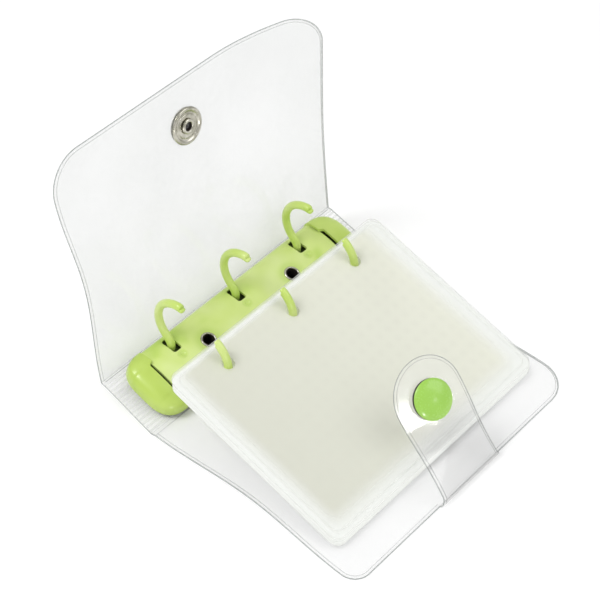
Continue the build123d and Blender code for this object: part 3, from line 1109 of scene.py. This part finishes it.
@dataclass
class ClosureStrap:
    """Clear strap that rises from the back cover's fore-edge, with its snap half.

    Attributes:
        root_x: where it leaves the back cover.
        root_z: height there.
        bend: radius of its bend.
        rise: angle of its straight run over the table.
        length: whole length along its middle.
        base_half: half-width at the base.
        tip_half: half-width near the tip, and the tip's radius.
        cap_station: distance from the base to the snap.
        skew: how far the tip leans to one side.
        twist: how far it has turned at the snap.
        cap_radius: radius of the snap's cap.
        inset: how far the sheet stays inside its border line.
    """

    root_x: float = 76.2
    root_z: float = 0.1
    bend: float = 4.2
    rise: float = math.radians(45.0)
    length: float = 40.0
    base_half: float = 12.4
    tip_half: float = 11.4
    cap_station: float = 27.6
    skew: float = 1.5
    twist: float = math.radians(13.0)
    cap_radius: float = 6.1
    inset: float = 0.1

    def centre(self, station: Array) -> Array:
        """Middle of the strap: an arc up from the table, then a straight run.

        Args:
            station: distances along the strap from its base.

        Returns:
            One point for each distance.
        """
        turn = math.pi / 2 - self.rise
        arc = self.bend * turn
        a = np.minimum(station, arc) / self.bend
        run = np.maximum(station - arc, 0)
        x = self.root_x - self.bend * (1 - np.cos(a)) - run * math.cos(self.rise)
        z = self.root_z + self.bend * np.sin(a) + run * math.sin(self.rise)
        y = self.skew * (station / self.length) ** 1.4
        return np.stack([x, y, z], axis=-1)

    def turned(self, station: Array) -> tuple[Array, Array]:
        """Directions across the strap and out of it, which twist on the way up.

        Args:
            station: distances along the strap from its base.

        Returns:
            The direction across and the one out of the outer face, at each distance.
        """
        a = np.minimum(station / self.bend, math.pi / 2 - self.rise)
        level = np.stack([np.cos(a), np.zeros_like(a), np.sin(a)], axis=-1)
        b = (self.twist * smooth((station - 2.0) / (self.cap_station - 6.0)))[:, None]
        return ALONG * np.cos(b) + level * np.sin(b), level * np.cos(b) - ALONG * np.sin(b)

    def half_width(self, inset: float) -> tuple[Array, Array]:
        """Stations and half-widths: a flared base, then a round tip."""
        straight = self.length - self.tip_half
        s = np.linspace(0.8, straight, 40)
        w = self.tip_half + (self.base_half - self.tip_half) * (1 - s / straight) ** 1.6
        w = w - 0.5 * np.sin(math.pi * s / straight) ** 2
        w = w + 1.3 * np.clip(1 - s / 2.6, 0, 1) ** 2 - inset
        a = np.linspace(0, math.radians(88), 22)[1:]
        radius = self.tip_half - inset
        stations = np.concatenate([s, straight + radius * np.sin(a)])
        return stations, np.concatenate([w, radius * np.cos(a)])

    def path(self, inset: float, height: float) -> Array:
        """Line round the strap: up the near side, round the tip and down the far side."""
        s, w = self.half_width(inset)
        station = np.concatenate([s, s[::-1]])
        y = np.concatenate([-w, w[::-1]])
        across, out = self.turned(station)
        return self.centre(station) + out * height + across * y[:, None]

    def cap_axes(self, height: float = 0.0) -> Axes:
        """Axes of the snap: z out of the strap."""
        at = np.array([self.cap_station])
        across, out = (direction[0] for direction in self.turned(at))
        origin = self.centre(at)[0] + out * (SHEET / 2 + height)
        return Axes(tuple(origin), tuple(np.cross(across, out)), tuple(across), tuple(out))

    def build(self, finishes: Finishes) -> None:
        """Make the strap sheet, its border lines and the snap's pieces.

        Args:
            finishes: the album's materials.
        """
        s, w = self.half_width(self.inset)
        t = np.linspace(-1, 1, 33)
        middle, (across, out) = self.centre(s), self.turned(s)
        y = (w[:, None] * t[None, :])[..., None] * across[:, None]
        faces = [middle[:, None] + y + out[:, None] * h for h in (SHEET / 2, -SHEET / 2)]
        add("strap_sheet", slab(*faces), finishes.strap, Body.STRAP, "clear_sheet", "closure_strap")
        up = np.array([0.0, 0.0, 1.0])
        outer = bar(self.path(self.inset, 0.0), up, 0.15, 0.15, BEAD_SIDES)
        add("strap_border", outer, finishes.edge, Body.STRAP, "clear_sheet")
        inner = bar(self.path(WELD_INSET, SHEET / 2), up, 0.09, 0.09, BEAD_SIDES)
        add("strap_weld", inner, finishes.faint_edge, Body.STRAP, "clear_sheet")
        self.build_snap(finishes)

    def build_snap(self, finishes: Finishes) -> None:
        """Turn the cap, the ring under it, dark as painted shade of the gap under the cap, and the socket behind the
        strap.
        """
        place = self.cap_axes()
        r = self.cap_radius
        a = np.linspace(0, math.pi / 2, 26)
        dome = np.stack([r * np.cos(a) ** 0.9, 1.55 + 1.5 * np.sin(a) ** 1.35], axis=-1)
        under = np.array([[0.0, 1.3], [r - 0.75, 1.3], [r - 0.5, 1.18], [r - 0.15, 1.24], [r, 1.38]])
        cap = lathe(np.concatenate([under, dome]), place, closed=False, sides=96)
        add("snap_cap", cap, finishes.cap_green, Body.STRAP, "cap_paint", "strap_snap_cap", sharp=60)
        # The ring under the cap is a real part; its dark finish is painted shade of the gap under the cap.
        ring = rounded([(2.2, 0.02), (5.85, 0.02), (6.05, 0.4), (5.7, 1.16), (2.2, 1.16)], 0.15)
        add("snap_cap_ring", lathe(ring, place, closed=True), finishes.dark,
            Body.STRAP, "nickel", "strap_snap_ring")
        profile = [(0.0, 0.02), (5.1, 0.02), (5.1, 0.3), (4.7, 0.5), (3.7, 0.5), (3.6, 2.2),
                   (3.4, 2.4), (2.9, 2.4), (2.7, 2.1), (2.7, 0.6), (0.0, 0.6)]
        socket = rounded([(radius, -SHEET - depth) for radius, depth in profile], 0.14, closed=False)
        add("snap_socket", lathe(socket, place, closed=False), finishes.nickel,
            Body.STRAP, "nickel", "strap_snap_socket")


@dataclass
class CoverSnap:
    """Nickel snap half on the front cover: dished plate, raised collar and hollow post.

    Attributes:
        station: distance from the fold to its middle.
        radius: the plate's radius.
    """

    station: float = 60.3
    radius: float = 5.8

    def build(self, finishes: Finishes) -> None:
        """Turn the plate, the post, the bore lined dark as painted shade, and the flange on the outer side.

        Args:
            finishes: the album's materials.
        """
        place = Axes(tuple(FRONT.point(self.station, 0, 0)), FRONT.x, FRONT.y, FRONT.z)
        top, r = SHEET + 0.02, self.radius
        plate = [(2.0, top), (r - 0.1, top), (r, top + 0.25), (r - 0.2, top + 0.62),
                 (r - 0.65, top + 0.78), (r - 1.15, top + 0.6), (r - 1.5, top + 0.28),
                 (r - 1.95, top + 0.3), (r - 2.3, top + 0.52), (r - 2.7, top + 0.5), (2.0, top + 0.42)]
        turned = lathe(rounded(plate, 0.22), place, closed=True)
        add("cover_snap_dish", turned, finishes.nickel, Body.FRONT, "nickel", "cover_snap_plate")
        post = [(0.0, -0.5), (r - 0.7, -0.5), (r - 0.35, -0.25), (r - 0.6, -0.03), (2.0, -0.03),
                (2.0, top + 0.5), (2.35, top + 0.62), (2.3, top + 1.0), (1.95, top + 1.2),
                (1.5, top + 1.15), (1.3, top + 0.9), (1.25, 0.05), (0.0, 0.05)]
        turned = lathe(rounded(post, 0.12, closed=False), place, closed=False)
        add("cover_snap_barrel", turned, finishes.nickel, Body.FRONT, "nickel", "cover_snap_post")
        # Painted shade: a dark lining with a floor stands for the shade inside the hollow post.
        bore = np.array([(0.0, 0.1), (1.22, 0.1), (1.24, top + 0.85), (1.14, top + 0.85),
                         (1.1, 0.35), (0.35, 0.35), (0.3, 0.75), (0.0, 0.8)])
        turned = lathe(bore, place, closed=False)
        add("cover_snap_bore", turned, finishes.dark, Body.FRONT, "nickel")


# ------------------------------------------------------------------ ring mechanism


@dataclass
class HalfRing:
    """Wire half-ring: straight foot, bend, long arc and a stepped tip.

    Attributes:
        hand: the half of the mechanism it belongs to.
        row: its place along the spine.
        wire: the wire's diameter.
        radius: radius of the long arc.
        offset: the arc's centre across the mechanism.
        height: the arc's centre over the spine.
        tip: angle at which the arc ends.
        root: angle below level at which the arc begins.
        root_run: straight wire under the arc.
        root_bend: radius of the bend over the foot.
        root_turn: angle of that bend.
        pitch: distance between rings.
        step: half the length of the step at the tip.
        hinge: a point of the hinge plate's upper face, across and up.
        slope: the hinge plate's slope.
    """

    hand: Hand
    row: Row
    wire: float = 2.5
    radius: float = RING_RADIUS
    offset: float = RING_CENTRE[0]
    height: float = RING_CENTRE[1]
    tip: float = math.radians(81.0)
    root: float = math.radians(62.0)
    root_run: float = 1.8
    root_bend: float = 3.5
    root_turn: float = math.radians(50.0)
    pitch: float = RING_PITCH
    step: float = 0.9
    hinge: tuple[float, float] = (9.0, 1.8)
    slope: float = math.radians(15.0)

    def arc(self, angle: Array) -> Array:
        """Points of the long arc: centre + radius * (cos, sin) of the angle."""
        across = self.offset + self.radius * np.cos(angle)
        return np.stack([across, self.height + self.radius * np.sin(angle)], -1)

    def path(self) -> Array:
        """Middle of the wire from foot to tip, across the mechanism."""
        leave = self.arc(np.array([-self.root]))[0]
        bend_start = leave - self.root_run * np.array([math.sin(self.root), math.cos(self.root)])
        turned = self.root - self.root_turn
        angle = np.linspace(turned, self.root, 12)
        bend = np.stack([
            bend_start[0] - self.root_bend * (np.cos(angle) - math.cos(self.root)),
            bend_start[1] - self.root_bend * (math.sin(self.root) - np.sin(angle)),
        ], -1)
        stop = bend[0]
        plate = self.hinge[1] + (self.hinge[0] - abs(stop[0])) * math.tan(self.slope)
        drop = (stop[1] - plate) / (math.cos(turned) + math.sin(turned) * math.tan(self.slope))
        foot = stop - drop * np.array([math.sin(turned), math.cos(turned)])
        stem = foot + (stop - foot) * np.linspace(0, 1, 6)[:-1, None]
        run = bend_start + (leave - bend_start) * np.linspace(0, 1, 4)[1:-1, None]
        wire_end = self.tip - self.step / self.radius
        return np.concatenate([stem, bend, run, self.arc(np.linspace(-self.root, wire_end, 60))])

    def lay(self, flat: Array) -> Array:
        """Put points across the mechanism at this ring's place along the spine."""
        side, y = self.hand.value, self.row.value * self.pitch
        local = np.stack([side * flat[:, 0], np.full(len(flat), y), flat[:, 1]], axis=-1)
        return MECH.place(local)

    def build(self, finishes: Finishes) -> None:
        """Make the wire and the half-thick tongue at its tip.

        Args:
            finishes: the album's materials.
        """
        half = self.wire / 2
        path = self.path()
        swell = np.ones(len(path))
        swell[-3:] = (0.99, 0.96, 0.86)
        wire = bar(self.lay(path), ALONG, half, half, 28, swell)
        end = np.linspace(self.tip - 2.2 * self.step / self.radius, self.tip, 10)
        shift = self.hand.value * half * 0.42
        tongue_flat = self.arc(end) + np.stack([np.cos(end), np.sin(end)], -1) * shift
        swell = np.ones(len(end))
        swell[-3:] = (0.97, 0.9, 0.74)
        tongue = bar(self.lay(tongue_flat), ALONG, half * 0.55, half * 0.86, 24, swell)
        name = f"ring_{self.hand.name.lower()}_{self.row.name.lower()}"
        body = Body.LEFT_HALF if self.hand is Hand.LEFT else Body.RIGHT_HALF
        add(name + "_wire", join([wire, tongue]), finishes.green, body, "green_paint", name)


@dataclass
class Lever:
    """Rounded thumb lever that caps one end of the plate.

    Attributes:
        row: the end it sits at.
        half: half its width.
        floor: height of its lower edge.
        crown: height of its top.
        end: distance from the middle of the spine to its outer end.
        open_edge: distance from the middle of the spine to its open edge.
        slit: distance to that edge where it steps back.
        slit_half: half the width of the step.
        gauge: thickness of the shell.
        end_powers: powers that round its end, across, up and along.
        arch_powers: powers that round its arch, across and up.
    """

    row: Row
    half: float = 10.75
    floor: float = 1.05
    crown: float = 6.75
    end: float = 45.4
    open_edge: float = 37.05
    slit: float = 38.35
    slit_half: float = 5.2
    gauge: float = 0.85
    end_powers: tuple[float, float, float] = (0.62, 0.55, 0.8)
    arch_powers: tuple[float, float] = (0.5, 0.42)

    def build(self, finishes: Finishes) -> None:
        """Make the shell and its inner tongue.

        The shell is a quarter of a rounded box: x = half*C(b)*c(a), z = floor +
        rise*C(b)*s(a), y from the open edge to the end with the sine of b, every
        sine and cosine raised to a power under one. The open edge steps back over
        the middle to leave the slit.

        Args:
            finishes: the album's materials.
        """
        a = np.linspace(0, math.pi, 97)[None, :]
        b = np.linspace(0, math.pi / 2, 41)[:, None]
        end_x, end_z, end_y = self.end_powers
        rise, arch = self.crown - self.floor, power(np.sin(a), self.arch_powers[1])
        x = self.half * power(np.cos(b), end_x) * power(np.cos(a), self.arch_powers[0])
        z = self.floor + rise * power(np.cos(b), end_z) * arch
        z = z - 0.9 * (x / self.half) ** 2 * arch
        back = smooth((self.slit_half + 0.7 - np.abs(x)) / 1.1)
        start = self.open_edge + (self.slit - self.open_edge) * back
        y = start + (self.end - start) * power(np.sin(b), end_y)
        side = self.row.value
        outer = MECH.place(np.stack([x, side * y, z], axis=-1))
        depth = self.end - self.slit
        inner_x = x * (self.half - self.gauge) / self.half
        inner_z = self.floor + (z - self.floor) * (rise - self.gauge) / rise
        inner_y = start + (y - start) * (depth - self.gauge) / depth
        inner = MECH.place(np.stack([inner_x, side * inner_y, inner_z], axis=-1))
        name = f"lever_{self.row.name.lower()}"
        body = Body.LEVER_NEAR if self.row is Row.NEAR else Body.LEVER_FAR
        tongue_x = np.linspace(-6.4, 6.4, 15)[:, None]
        tongue_y = np.linspace(34.6, 44.0, 11)[None, :]
        flat = [np.stack(np.broadcast_arrays(tongue_x, side * tongue_y, h), -1) for h in (2.4, 1.8)]
        tongue = slab(*[MECH.place(face) for face in flat])
        shell = slab(outer, inner)
        # The lever's paint is a darker copy of the ring paint, as painted shade.
        add(name + "_shell", shell, finishes.lever_green, body, "green_paint", name, sharp=50)
        # Painted shade: the tongue under the lever shell is dark.
        add(name + "_tongue", tongue, finishes.inner_steel, body, "green_paint")


@dataclass
class Rivet:
    """Hollow rivet with a flared silver rim, its bore lined dark as painted shade.

    Attributes:
        row: the end it sits at.
        pitch: distance between the two rivets.
        crown: height of the plate where it passes through.
    """

    row: Row
    pitch: float = RIVET_PITCH
    crown: float = 6.1

    def build(self, finishes: Finishes) -> None:
        """Turn the rivet and line its bore with painted shade.

        Args:
            finishes: the album's materials.
        """
        y = self.row.value * self.pitch / 2
        place = Axes(tuple(MECH.point(0, y, 0)), MECH.x, MECH.y, MECH.z)
        top = self.crown
        barrel = [(1.75, -1.0), (2.2, -1.0), (2.2, top - 0.35), (2.45, top - 0.2), (2.55, top + 0.05),
                  (2.35, top + 0.3), (2.1, top + 0.34), (1.88, top + 0.15), (1.75, top - 0.4)]
        name = f"rivet_{self.row.name.lower()}"
        turned = lathe(rounded(barrel, 0.2), place, closed=True)
        add(name + "_barrel", turned, finishes.nickel, Body.SPINE, "nickel", name)
        # Painted shade: a dark lining with a closed floor stands for the shade inside the hollow rivet.
        bore = np.array([(0.0, 0.2), (1.76, 0.2), (1.78, top + 0.12), (1.68, top + 0.12),
                         (1.6, 1.4), (0.0, 1.4)])
        turned = lathe(bore, place, closed=False)
        add(name + "_bore", turned, finishes.dark, Body.SPINE, "nickel")


@dataclass
class RingMechanism:
    """Painted plate, rings, levers and rivets on the spine.

    Attributes:
        carried: the CAD pieces by name, of which some keep their own shape.
    """

    carried: dict[str, bpy.types.Object]

    def build(self, finishes: Finishes) -> None:
        """Make the moving pieces and dress the CAD pieces that stay.

        Args:
            finishes: the album's materials.
        """
        for hand in Hand:
            for row in Row:
                HalfRing(hand, row).build(finishes)
        for row in (Row.NEAR, Row.FAR):
            lever = Lever(row, crown=6.95, end=46.6) if row is Row.FAR else Lever(row, slit=38.75)
            lever.build(finishes)
            Rivet(row).build(finishes)
        # The plate's paint is a lighter copy of the ring paint, as painted light.
        paint(self.carried["ring_top_plate"], finishes.plate_green)
        # Painted shade: the hinge plates are dark so that the plate's slots read as shaded.
        for hand in ("left", "right"):
            paint(self.carried["hinge_plate_" + hand], finishes.inner_steel)
        for row in ("near", "far"):
            paint(self.carried[f"rivet_{row}_washer"], finishes.nickel)


def paint(node: bpy.types.Object, material: bpy.types.Material) -> None:
    """Give a carried-over CAD piece its finish."""
    node.data.materials.clear()
    node.data.materials.append(material)
    log.info("%s: dressed with %s", node.name, material.name)


# ------------------------------------------------------------------ pages


@dataclass
class PageStack:
    """Six pocket pages on the right half-rings.

    Attributes:
        count: number of pages.
        length: page size from the punched edge to the fore-edge.
        half: half the page's width.
        gauge: thickness of a page with its card.
        step: distance from one page to the next.
        hole: radius of a punched hole.
        margin: distance from the punched edge to the holes' middles.
        corner: radius of the page's corners.
        slope: the stack's slope over the table.
        edge_height: height of the stack's upper face over the fold.
        strip: width of the punched strip.
        pitch: distance between rings.
        ring_radius: radius of the rings' long arc.
        ring_place: that arc's centre, across and up.
        margins: clear margins at the punched edge, fore-edge, near and far sides.
        shares: how much of each page's clear margin isn't seen through.
    """

    count: int = 6
    length: float = 66.4
    half: float = 45.1
    gauge: float = 0.5
    step: float = 0.58
    hole: float = 2.0
    margin: float = 7.6
    corner: float = 3.0
    slope: float = math.radians(14.2)
    edge_height: float = 20.8
    strip: float = 15.2
    pitch: float = RING_PITCH
    ring_radius: float = RING_RADIUS
    ring_place: tuple[float, float] = RING_CENTRE
    margins: tuple[float, float, float, float] = (1.9, 5.0, 4.2, 5.5)
    shares: tuple[float, ...] = (0.16, 0.35, 0.95, 1.0, 1.0, 1.0)

    def axes(self, index: int) -> Axes:
        """Axes of one page: x down the page from its punched edge, z out of its face."""
        c, s = math.cos(self.slope), math.sin(self.slope)
        along, up = np.array([c, 0.0, -s]), np.array([s, 0.0, c])
        centre = MECH.point(self.ring_place[0], 0, self.ring_place[1])
        depth = index * self.step + self.gauge
        away = centre - np.array([0.0, 0.0, self.edge_height])
        off = away @ up + depth - self.gauge / 2
        edge = away @ along + math.sqrt(self.ring_radius**2 - off**2) - self.margin
        origin = np.array([0.0, 0.0, self.edge_height]) + along * edge - up * depth
        return Axes(tuple(origin), tuple(along), (0.0, 1.0, 0.0), tuple(up))

    def round_corners(self, flat: Array) -> Array:
        """Round the page's corners: in each corner square, scale (a, b) by max/hypot.

        Args:
            flat: points of the square-cornered page, x and y.

        Returns:
            The same points with the corner squares drawn onto quarter discs.
        """
        x, y = flat[..., 0], flat[..., 1]
        mid, r = self.length / 2, self.corner
        a = (np.abs(x - mid) - (mid - r)) / r
        b = (np.abs(y) - (self.half - r)) / r
        inside = (a > 0) & (b > 0)
        ratio = np.where(inside, np.maximum(a, b) / np.maximum(np.hypot(a, b), 1e-9), 1.0)
        new_x = mid + np.sign(x - mid) * (mid - r + a * ratio * r)
        new_y = np.sign(y) * (self.half - r + b * ratio * r)
        return np.stack([np.where(inside, new_x, x), np.where(inside, new_y, y)], axis=-1)

    def face(self) -> Patch:
        """Flat page with three punched holes.

        Each hole's cell runs from the circle to the cell's border: circle*(1-k) +
        border*k. The rest of the page is a plain grid whose points meet the cells'.

        Returns:
            The page's face, x and y with z at 0.
        """
        across, down = 22, 14
        half_pitch = self.pitch / 2
        bounds = [(-self.half, -half_pitch), (-half_pitch, half_pitch), (half_pitch, self.half)]
        k = np.array([0.0, 0.12, 0.3, 0.55, 0.8, 1.0])[None, :, None]
        patches, ticks = [], []
        for (low, high), row in zip(bounds, Row):
            xs = np.linspace(0, self.strip, down + 1)
            ys = np.linspace(low, high, across + 1)
            ticks.append(ys[:-1])
            sides = [
                (xs[:-1], np.full(down, low)), (np.full(across, self.strip), ys[:-1]),
                (xs[:0:-1], np.full(down, high)), (np.zeros(across), ys[:0:-1]),
            ]
            border = np.concatenate([np.stack(side, -1) for side in sides])
            centre = np.array([self.margin, row.value * self.pitch])
            circle = centre + unit(border - centre) * self.hole
            cell = circle[:, None] * (1 - k) + border[:, None] * k
            patches.append(Patch(cell.reshape(-1, 2), grid_quads(len(border), 6, wrap_rows=True)))
        ys = np.concatenate([*ticks, [self.half]])
        xs = np.concatenate([
            np.linspace(self.strip, self.length - self.corner, 30),
            self.length - self.corner * np.array([0.66, 0.33, 0]),
        ])
        field_grid = np.stack(np.meshgrid(xs, ys, indexing="ij"), -1)
        patches.append(Patch(field_grid.reshape(-1, 2), grid_quads(len(xs), len(ys))))
        whole = join(patches)
        flat = self.round_corners(whole.points)
        return Patch(np.column_stack([flat, np.zeros(len(flat))]), whole.quads)

    def border(self, inset: float, height: float) -> Array:
        """Rounded rectangle inside the page's border, as a closed path."""
        r = max(self.corner - inset * 0.4, 1.2)
        low, high, side = inset, self.length - inset, self.half - inset
        a = np.linspace(0, math.pi / 2, 9)
        middles = [(high - r, side - r), (low + r, side - r), (low + r, -side + r), (high - r, -side + r)]
        runs = []
        for quarter, (x, y) in enumerate(middles):
            turn = a + quarter * math.pi / 2
            runs.append(np.stack([x + r * np.cos(turn), y + r * np.sin(turn)], -1))
        path = np.concatenate([*runs, runs[0][:2]])
        return np.column_stack([path, np.full(len(path), height)])

    def thicken(self, face: Patch, place: Axes) -> Patch:
        """Page face carried to its upper and lower sides and walled at every free edge.

        A free edge is one that only a single quad of the merged face uses.

        Args:
            face: the flat page.
            place: the page's axes.

        Returns:
            The closed page.
        """
        keys = np.round(face.points[:, :2], 5)
        merged, number = np.unique(keys, axis=0, return_inverse=True)
        quads = number.reshape(-1)[face.quads]
        edges = np.stack([quads, np.roll(quads, -1, axis=1)], axis=-1).reshape(-1, 2)
        _, back, times = np.unique(np.sort(edges, axis=1), axis=0,
                                   return_inverse=True, return_counts=True)
        free = edges[times[back.reshape(-1)] == 1]
        count = len(merged)
        walls = np.stack([free[:, 0], free[:, 1], free[:, 1] + count, free[:, 0] + count], axis=-1)
        sides = [np.column_stack([merged, np.full(count, h)]) for h in (self.gauge - 0.04, 0.04)]
        points = np.concatenate([place.place(side) for side in sides])
        return Patch(points, np.concatenate([quads, quads[:, ::-1] + count, walls]))

    def film(self, index: int, place: Axes) -> bpy.types.Material:
        """Frosted film for one page: the lower pages are denser."""
        clear = (linear(234, 236, 232), self.shares[index])
        cream = (linear(229, 230, 216), 0.5 if index == 0 else 0.75)
        return FrostedFilm(f"pocket_film_{index + 1}", place, self.length, self.half,
                           self.margins, clear, cream).make()

    def build(self, finishes: Finishes) -> None:
        """Make each page as one slab, and the bead and weld line round it.

        The beads and the pages between the first and the last cast no shadow: light
        passes through only so many layers of film before it is lost.

        Args:
            finishes: the album's materials.
        """
        face = self.face()
        for index in range(self.count):
            place = self.axes(index)
            number = index + 1
            body = Body.TOP_PAGE if index == 0 else Body.PAGES
            name = f"page_{number}"
            piece = add(name + "_film", self.thicken(face, place), self.film(index, place),
                        body, "film", name, f"page_card_{number}")
            up = np.array(place.z)
            bead = place.place(self.border(0.0, self.gauge / 2))
            lines = [bar(bead, up, 0.06, BEAD, BEAD_SIDES)]
            if index < 2:
                seam = place.place(self.border(1.75, self.gauge))
                lines.append(bar(seam, up, BEAD, 0.05, BEAD_SIDES))
            weld = add(name + "_weld", join(lines), finishes.page_edge, body, "film")
            shadeless = [weld, piece] if 0 < index < self.count - 1 else [weld]
            for thin in shadeless:
                thin.visible_shadow = thin.visible_diffuse = False


# ------------------------------------------------------------------ album


@dataclass
class Album:
    """The whole album, built piece by piece.

    Attributes:
        carried: the CAD pieces by name.
    """

    carried: dict[str, bpy.types.Object]

    def build(self) -> None:
        """Build every sub-assembly in order."""
        finishes = Finishes()
        back = CoverSheet("back_cover", Body.BACK, BACK, corners=(5.6, 10.0), strap_gap=13.6)
        front = CoverSheet("front_cover", Body.FRONT, FRONT, waists=(2.3, 0.2), flare=11.0, start=0.6)
        back.build(finishes, finishes.cover)
        front.build(finishes, finishes.front)
        spine = SpineSheet()
        spine.build(finishes)
        middle = SHEET / 2 + 0.02
        across = np.array(MECH.x)
        run = spine.half_run
        width = [float(spine.half_width(np.array([side * run]))[0]) for side in (-1, 1)]
        FoldStrip("front_fold", (Body.SPINE, Body.FRONT), (MECH.point(-run, 0, middle), -across),
                  (FRONT.point(front.start, 0, middle), np.array(FRONT.x)),
                  (width[0], front.side(0, BORDER_INSET)[1][0]),
                  crease=True).build(finishes, finishes.front)
        FoldStrip("back_fold", (Body.SPINE, Body.BACK), (MECH.point(run, 0, middle), across),
                  (BACK.point(back.start, 0, middle), np.array(BACK.x)),
                  (width[1], back.side(0, BORDER_INSET)[1][0])).build(finishes, finishes.cover)
        strap = ClosureStrap()
        strap.build(finishes)
        stations, widths = strap.half_width(strap.inset)
        FoldStrip("strap_fold", (Body.BACK, Body.STRAP),
                  (BACK.point(back.length - 0.2, 0, middle), np.array(BACK.x)),
                  (strap.centre(stations[:1])[0], np.array([0.0, 0.0, 1.0])),
                  (back.strap_gap, widths[0])).build(finishes, finishes.strap)
        CoverSnap().build(finishes)
        RingMechanism(self.carried).build(finishes)
        PageStack().build(finishes)


# ------------------------------------------------------------------ studio


@dataclass
class Studio:
    """Pale floor, soft light and the camera.

    Attributes:
        camera_at: the camera's place, in metres.
        camera_right: direction to the right of its picture.
        camera_up: direction up its picture.
        camera_back: direction from what it sees to the camera.
        lens: focal length, in millimetres.
        world_light: strength of the light from all round.
        floor_half: half the floor's size, in millimetres.
        floor_drop: how far the floor lies under the album, in millimetres.
    """

    camera_at: tuple[float, float, float] = (0.2347, -0.2930, 0.4285)
    camera_right: tuple[float, float, float] = (0.7514, 0.6573, 0.0578)
    camera_up: tuple[float, float, float] = (-0.5155, 0.5302, 0.6732)
    camera_back: tuple[float, float, float] = (0.4118, -0.5357, 0.7372)
    lens: float = 113.43
    world_light: float = 0.66
    floor_half: float = 3000.0
    floor_drop: float = 0.05

    def floor(self) -> None:
        """Lay a wide pale floor just under the album."""
        reach, level = self.floor_half, -self.floor_drop
        points = np.array([(x * reach, y * reach, level) for x, y in ((-1, -1), (1, -1), (1, 1), (-1, 1))])
        s = Shader("studio_floor")
        mottle = s.noise(s.coordinates(), 6.0, 2.0)
        colour = s.blend(s.span(mottle, 0.3, 0.7), (0.94, 0.94, 0.94), (0.955, 0.955, 0.955))
        made = s.done(s.node("BsdfPrincipled", Base_Color=colour, Roughness=0.9, Specular_IOR_Level=0.1))
        piece = make_piece("studio_floor", Patch(points, np.array([[0, 1, 2, 3]])), made)
        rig.stage(piece)

    def lamp(self, name: str, at: tuple[float, float, float], size: float, power_w: float) -> None:
        """Hang a square soft lamp that faces the album."""
        data = bpy.data.lights.new(name, "AREA")
        data.shape, data.size, data.energy = "SQUARE", size, power_w
        lamp = bpy.data.objects.new(name, data)
        bpy.context.scene.collection.objects.link(lamp)
        lamp.location = at
        aim = np.array([0.02, 0.0, 0.02]) - np.array(at)
        lamp.rotation_mode = "QUATERNION"
        lamp.rotation_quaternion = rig.Vector(aim.tolist()).to_track_quat("-Z", "Y")

    def build(self) -> None:
        """Set the floor, world, lamps and camera."""
        self.floor()
        world = bpy.data.worlds.new("studio")
        world.use_nodes = True
        back = world.node_tree.nodes["Background"]
        back.inputs[0].default_value = (1.0, 1.0, 1.0, 1.0)
        back.inputs[1].default_value = self.world_light
        bpy.context.scene.world = world
        self.lamp("key_lamp", (-0.35, -0.45, 0.75), 0.35, 3.9)
        self.lamp("fill_lamp", (0.6, 0.5, 0.8), 0.7, 2.7)
        self.lamp("strap_lamp", (0.85, 0.13, 0.43), 0.035, 0.12)
        self.lamp("low_lamp", (0.8, -0.48, 0.07), 0.1, 1.1)
        data = bpy.data.cameras.new("camera")
        data.lens, data.sensor_width, data.sensor_fit = self.lens, 36.0, "HORIZONTAL"
        data.clip_start, data.clip_end = 0.01, 20.0
        camera = bpy.data.objects.new("camera", data)
        bpy.context.scene.collection.objects.link(camera)
        columns = np.column_stack([self.camera_right, self.camera_up, self.camera_back, self.camera_at])
        camera.matrix_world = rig.Matrix([*columns.tolist(), [0, 0, 0, 1]])
        bpy.context.scene.camera = camera
        bpy.context.scene.view_settings.view_transform = "Standard"


def corners(bounds: object) -> list[list[float]]:
    """Bounds as plain lists of numbers."""
    return [[float(v) for v in corner] for corner in bounds]


def main() -> None:
    """Load the frame, build the album and the studio, and note both sizes."""
    logging.basicConfig(level=logging.INFO, format="%(name)s: %(message)s")
    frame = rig.load()
    cad_box = corners(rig.bounds())
    Album(frame["nodes"]).build()
    Studio().build()
    visual_box = corners(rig.bounds())
    with open(SIZE_FILE, "w") as out:
        json.dump({"cad": cad_box, "visual": visual_box}, out)
    log.info("CAD box %s, visual box %s", cad_box, visual_box)


if __name__ == "__main__":
    main()
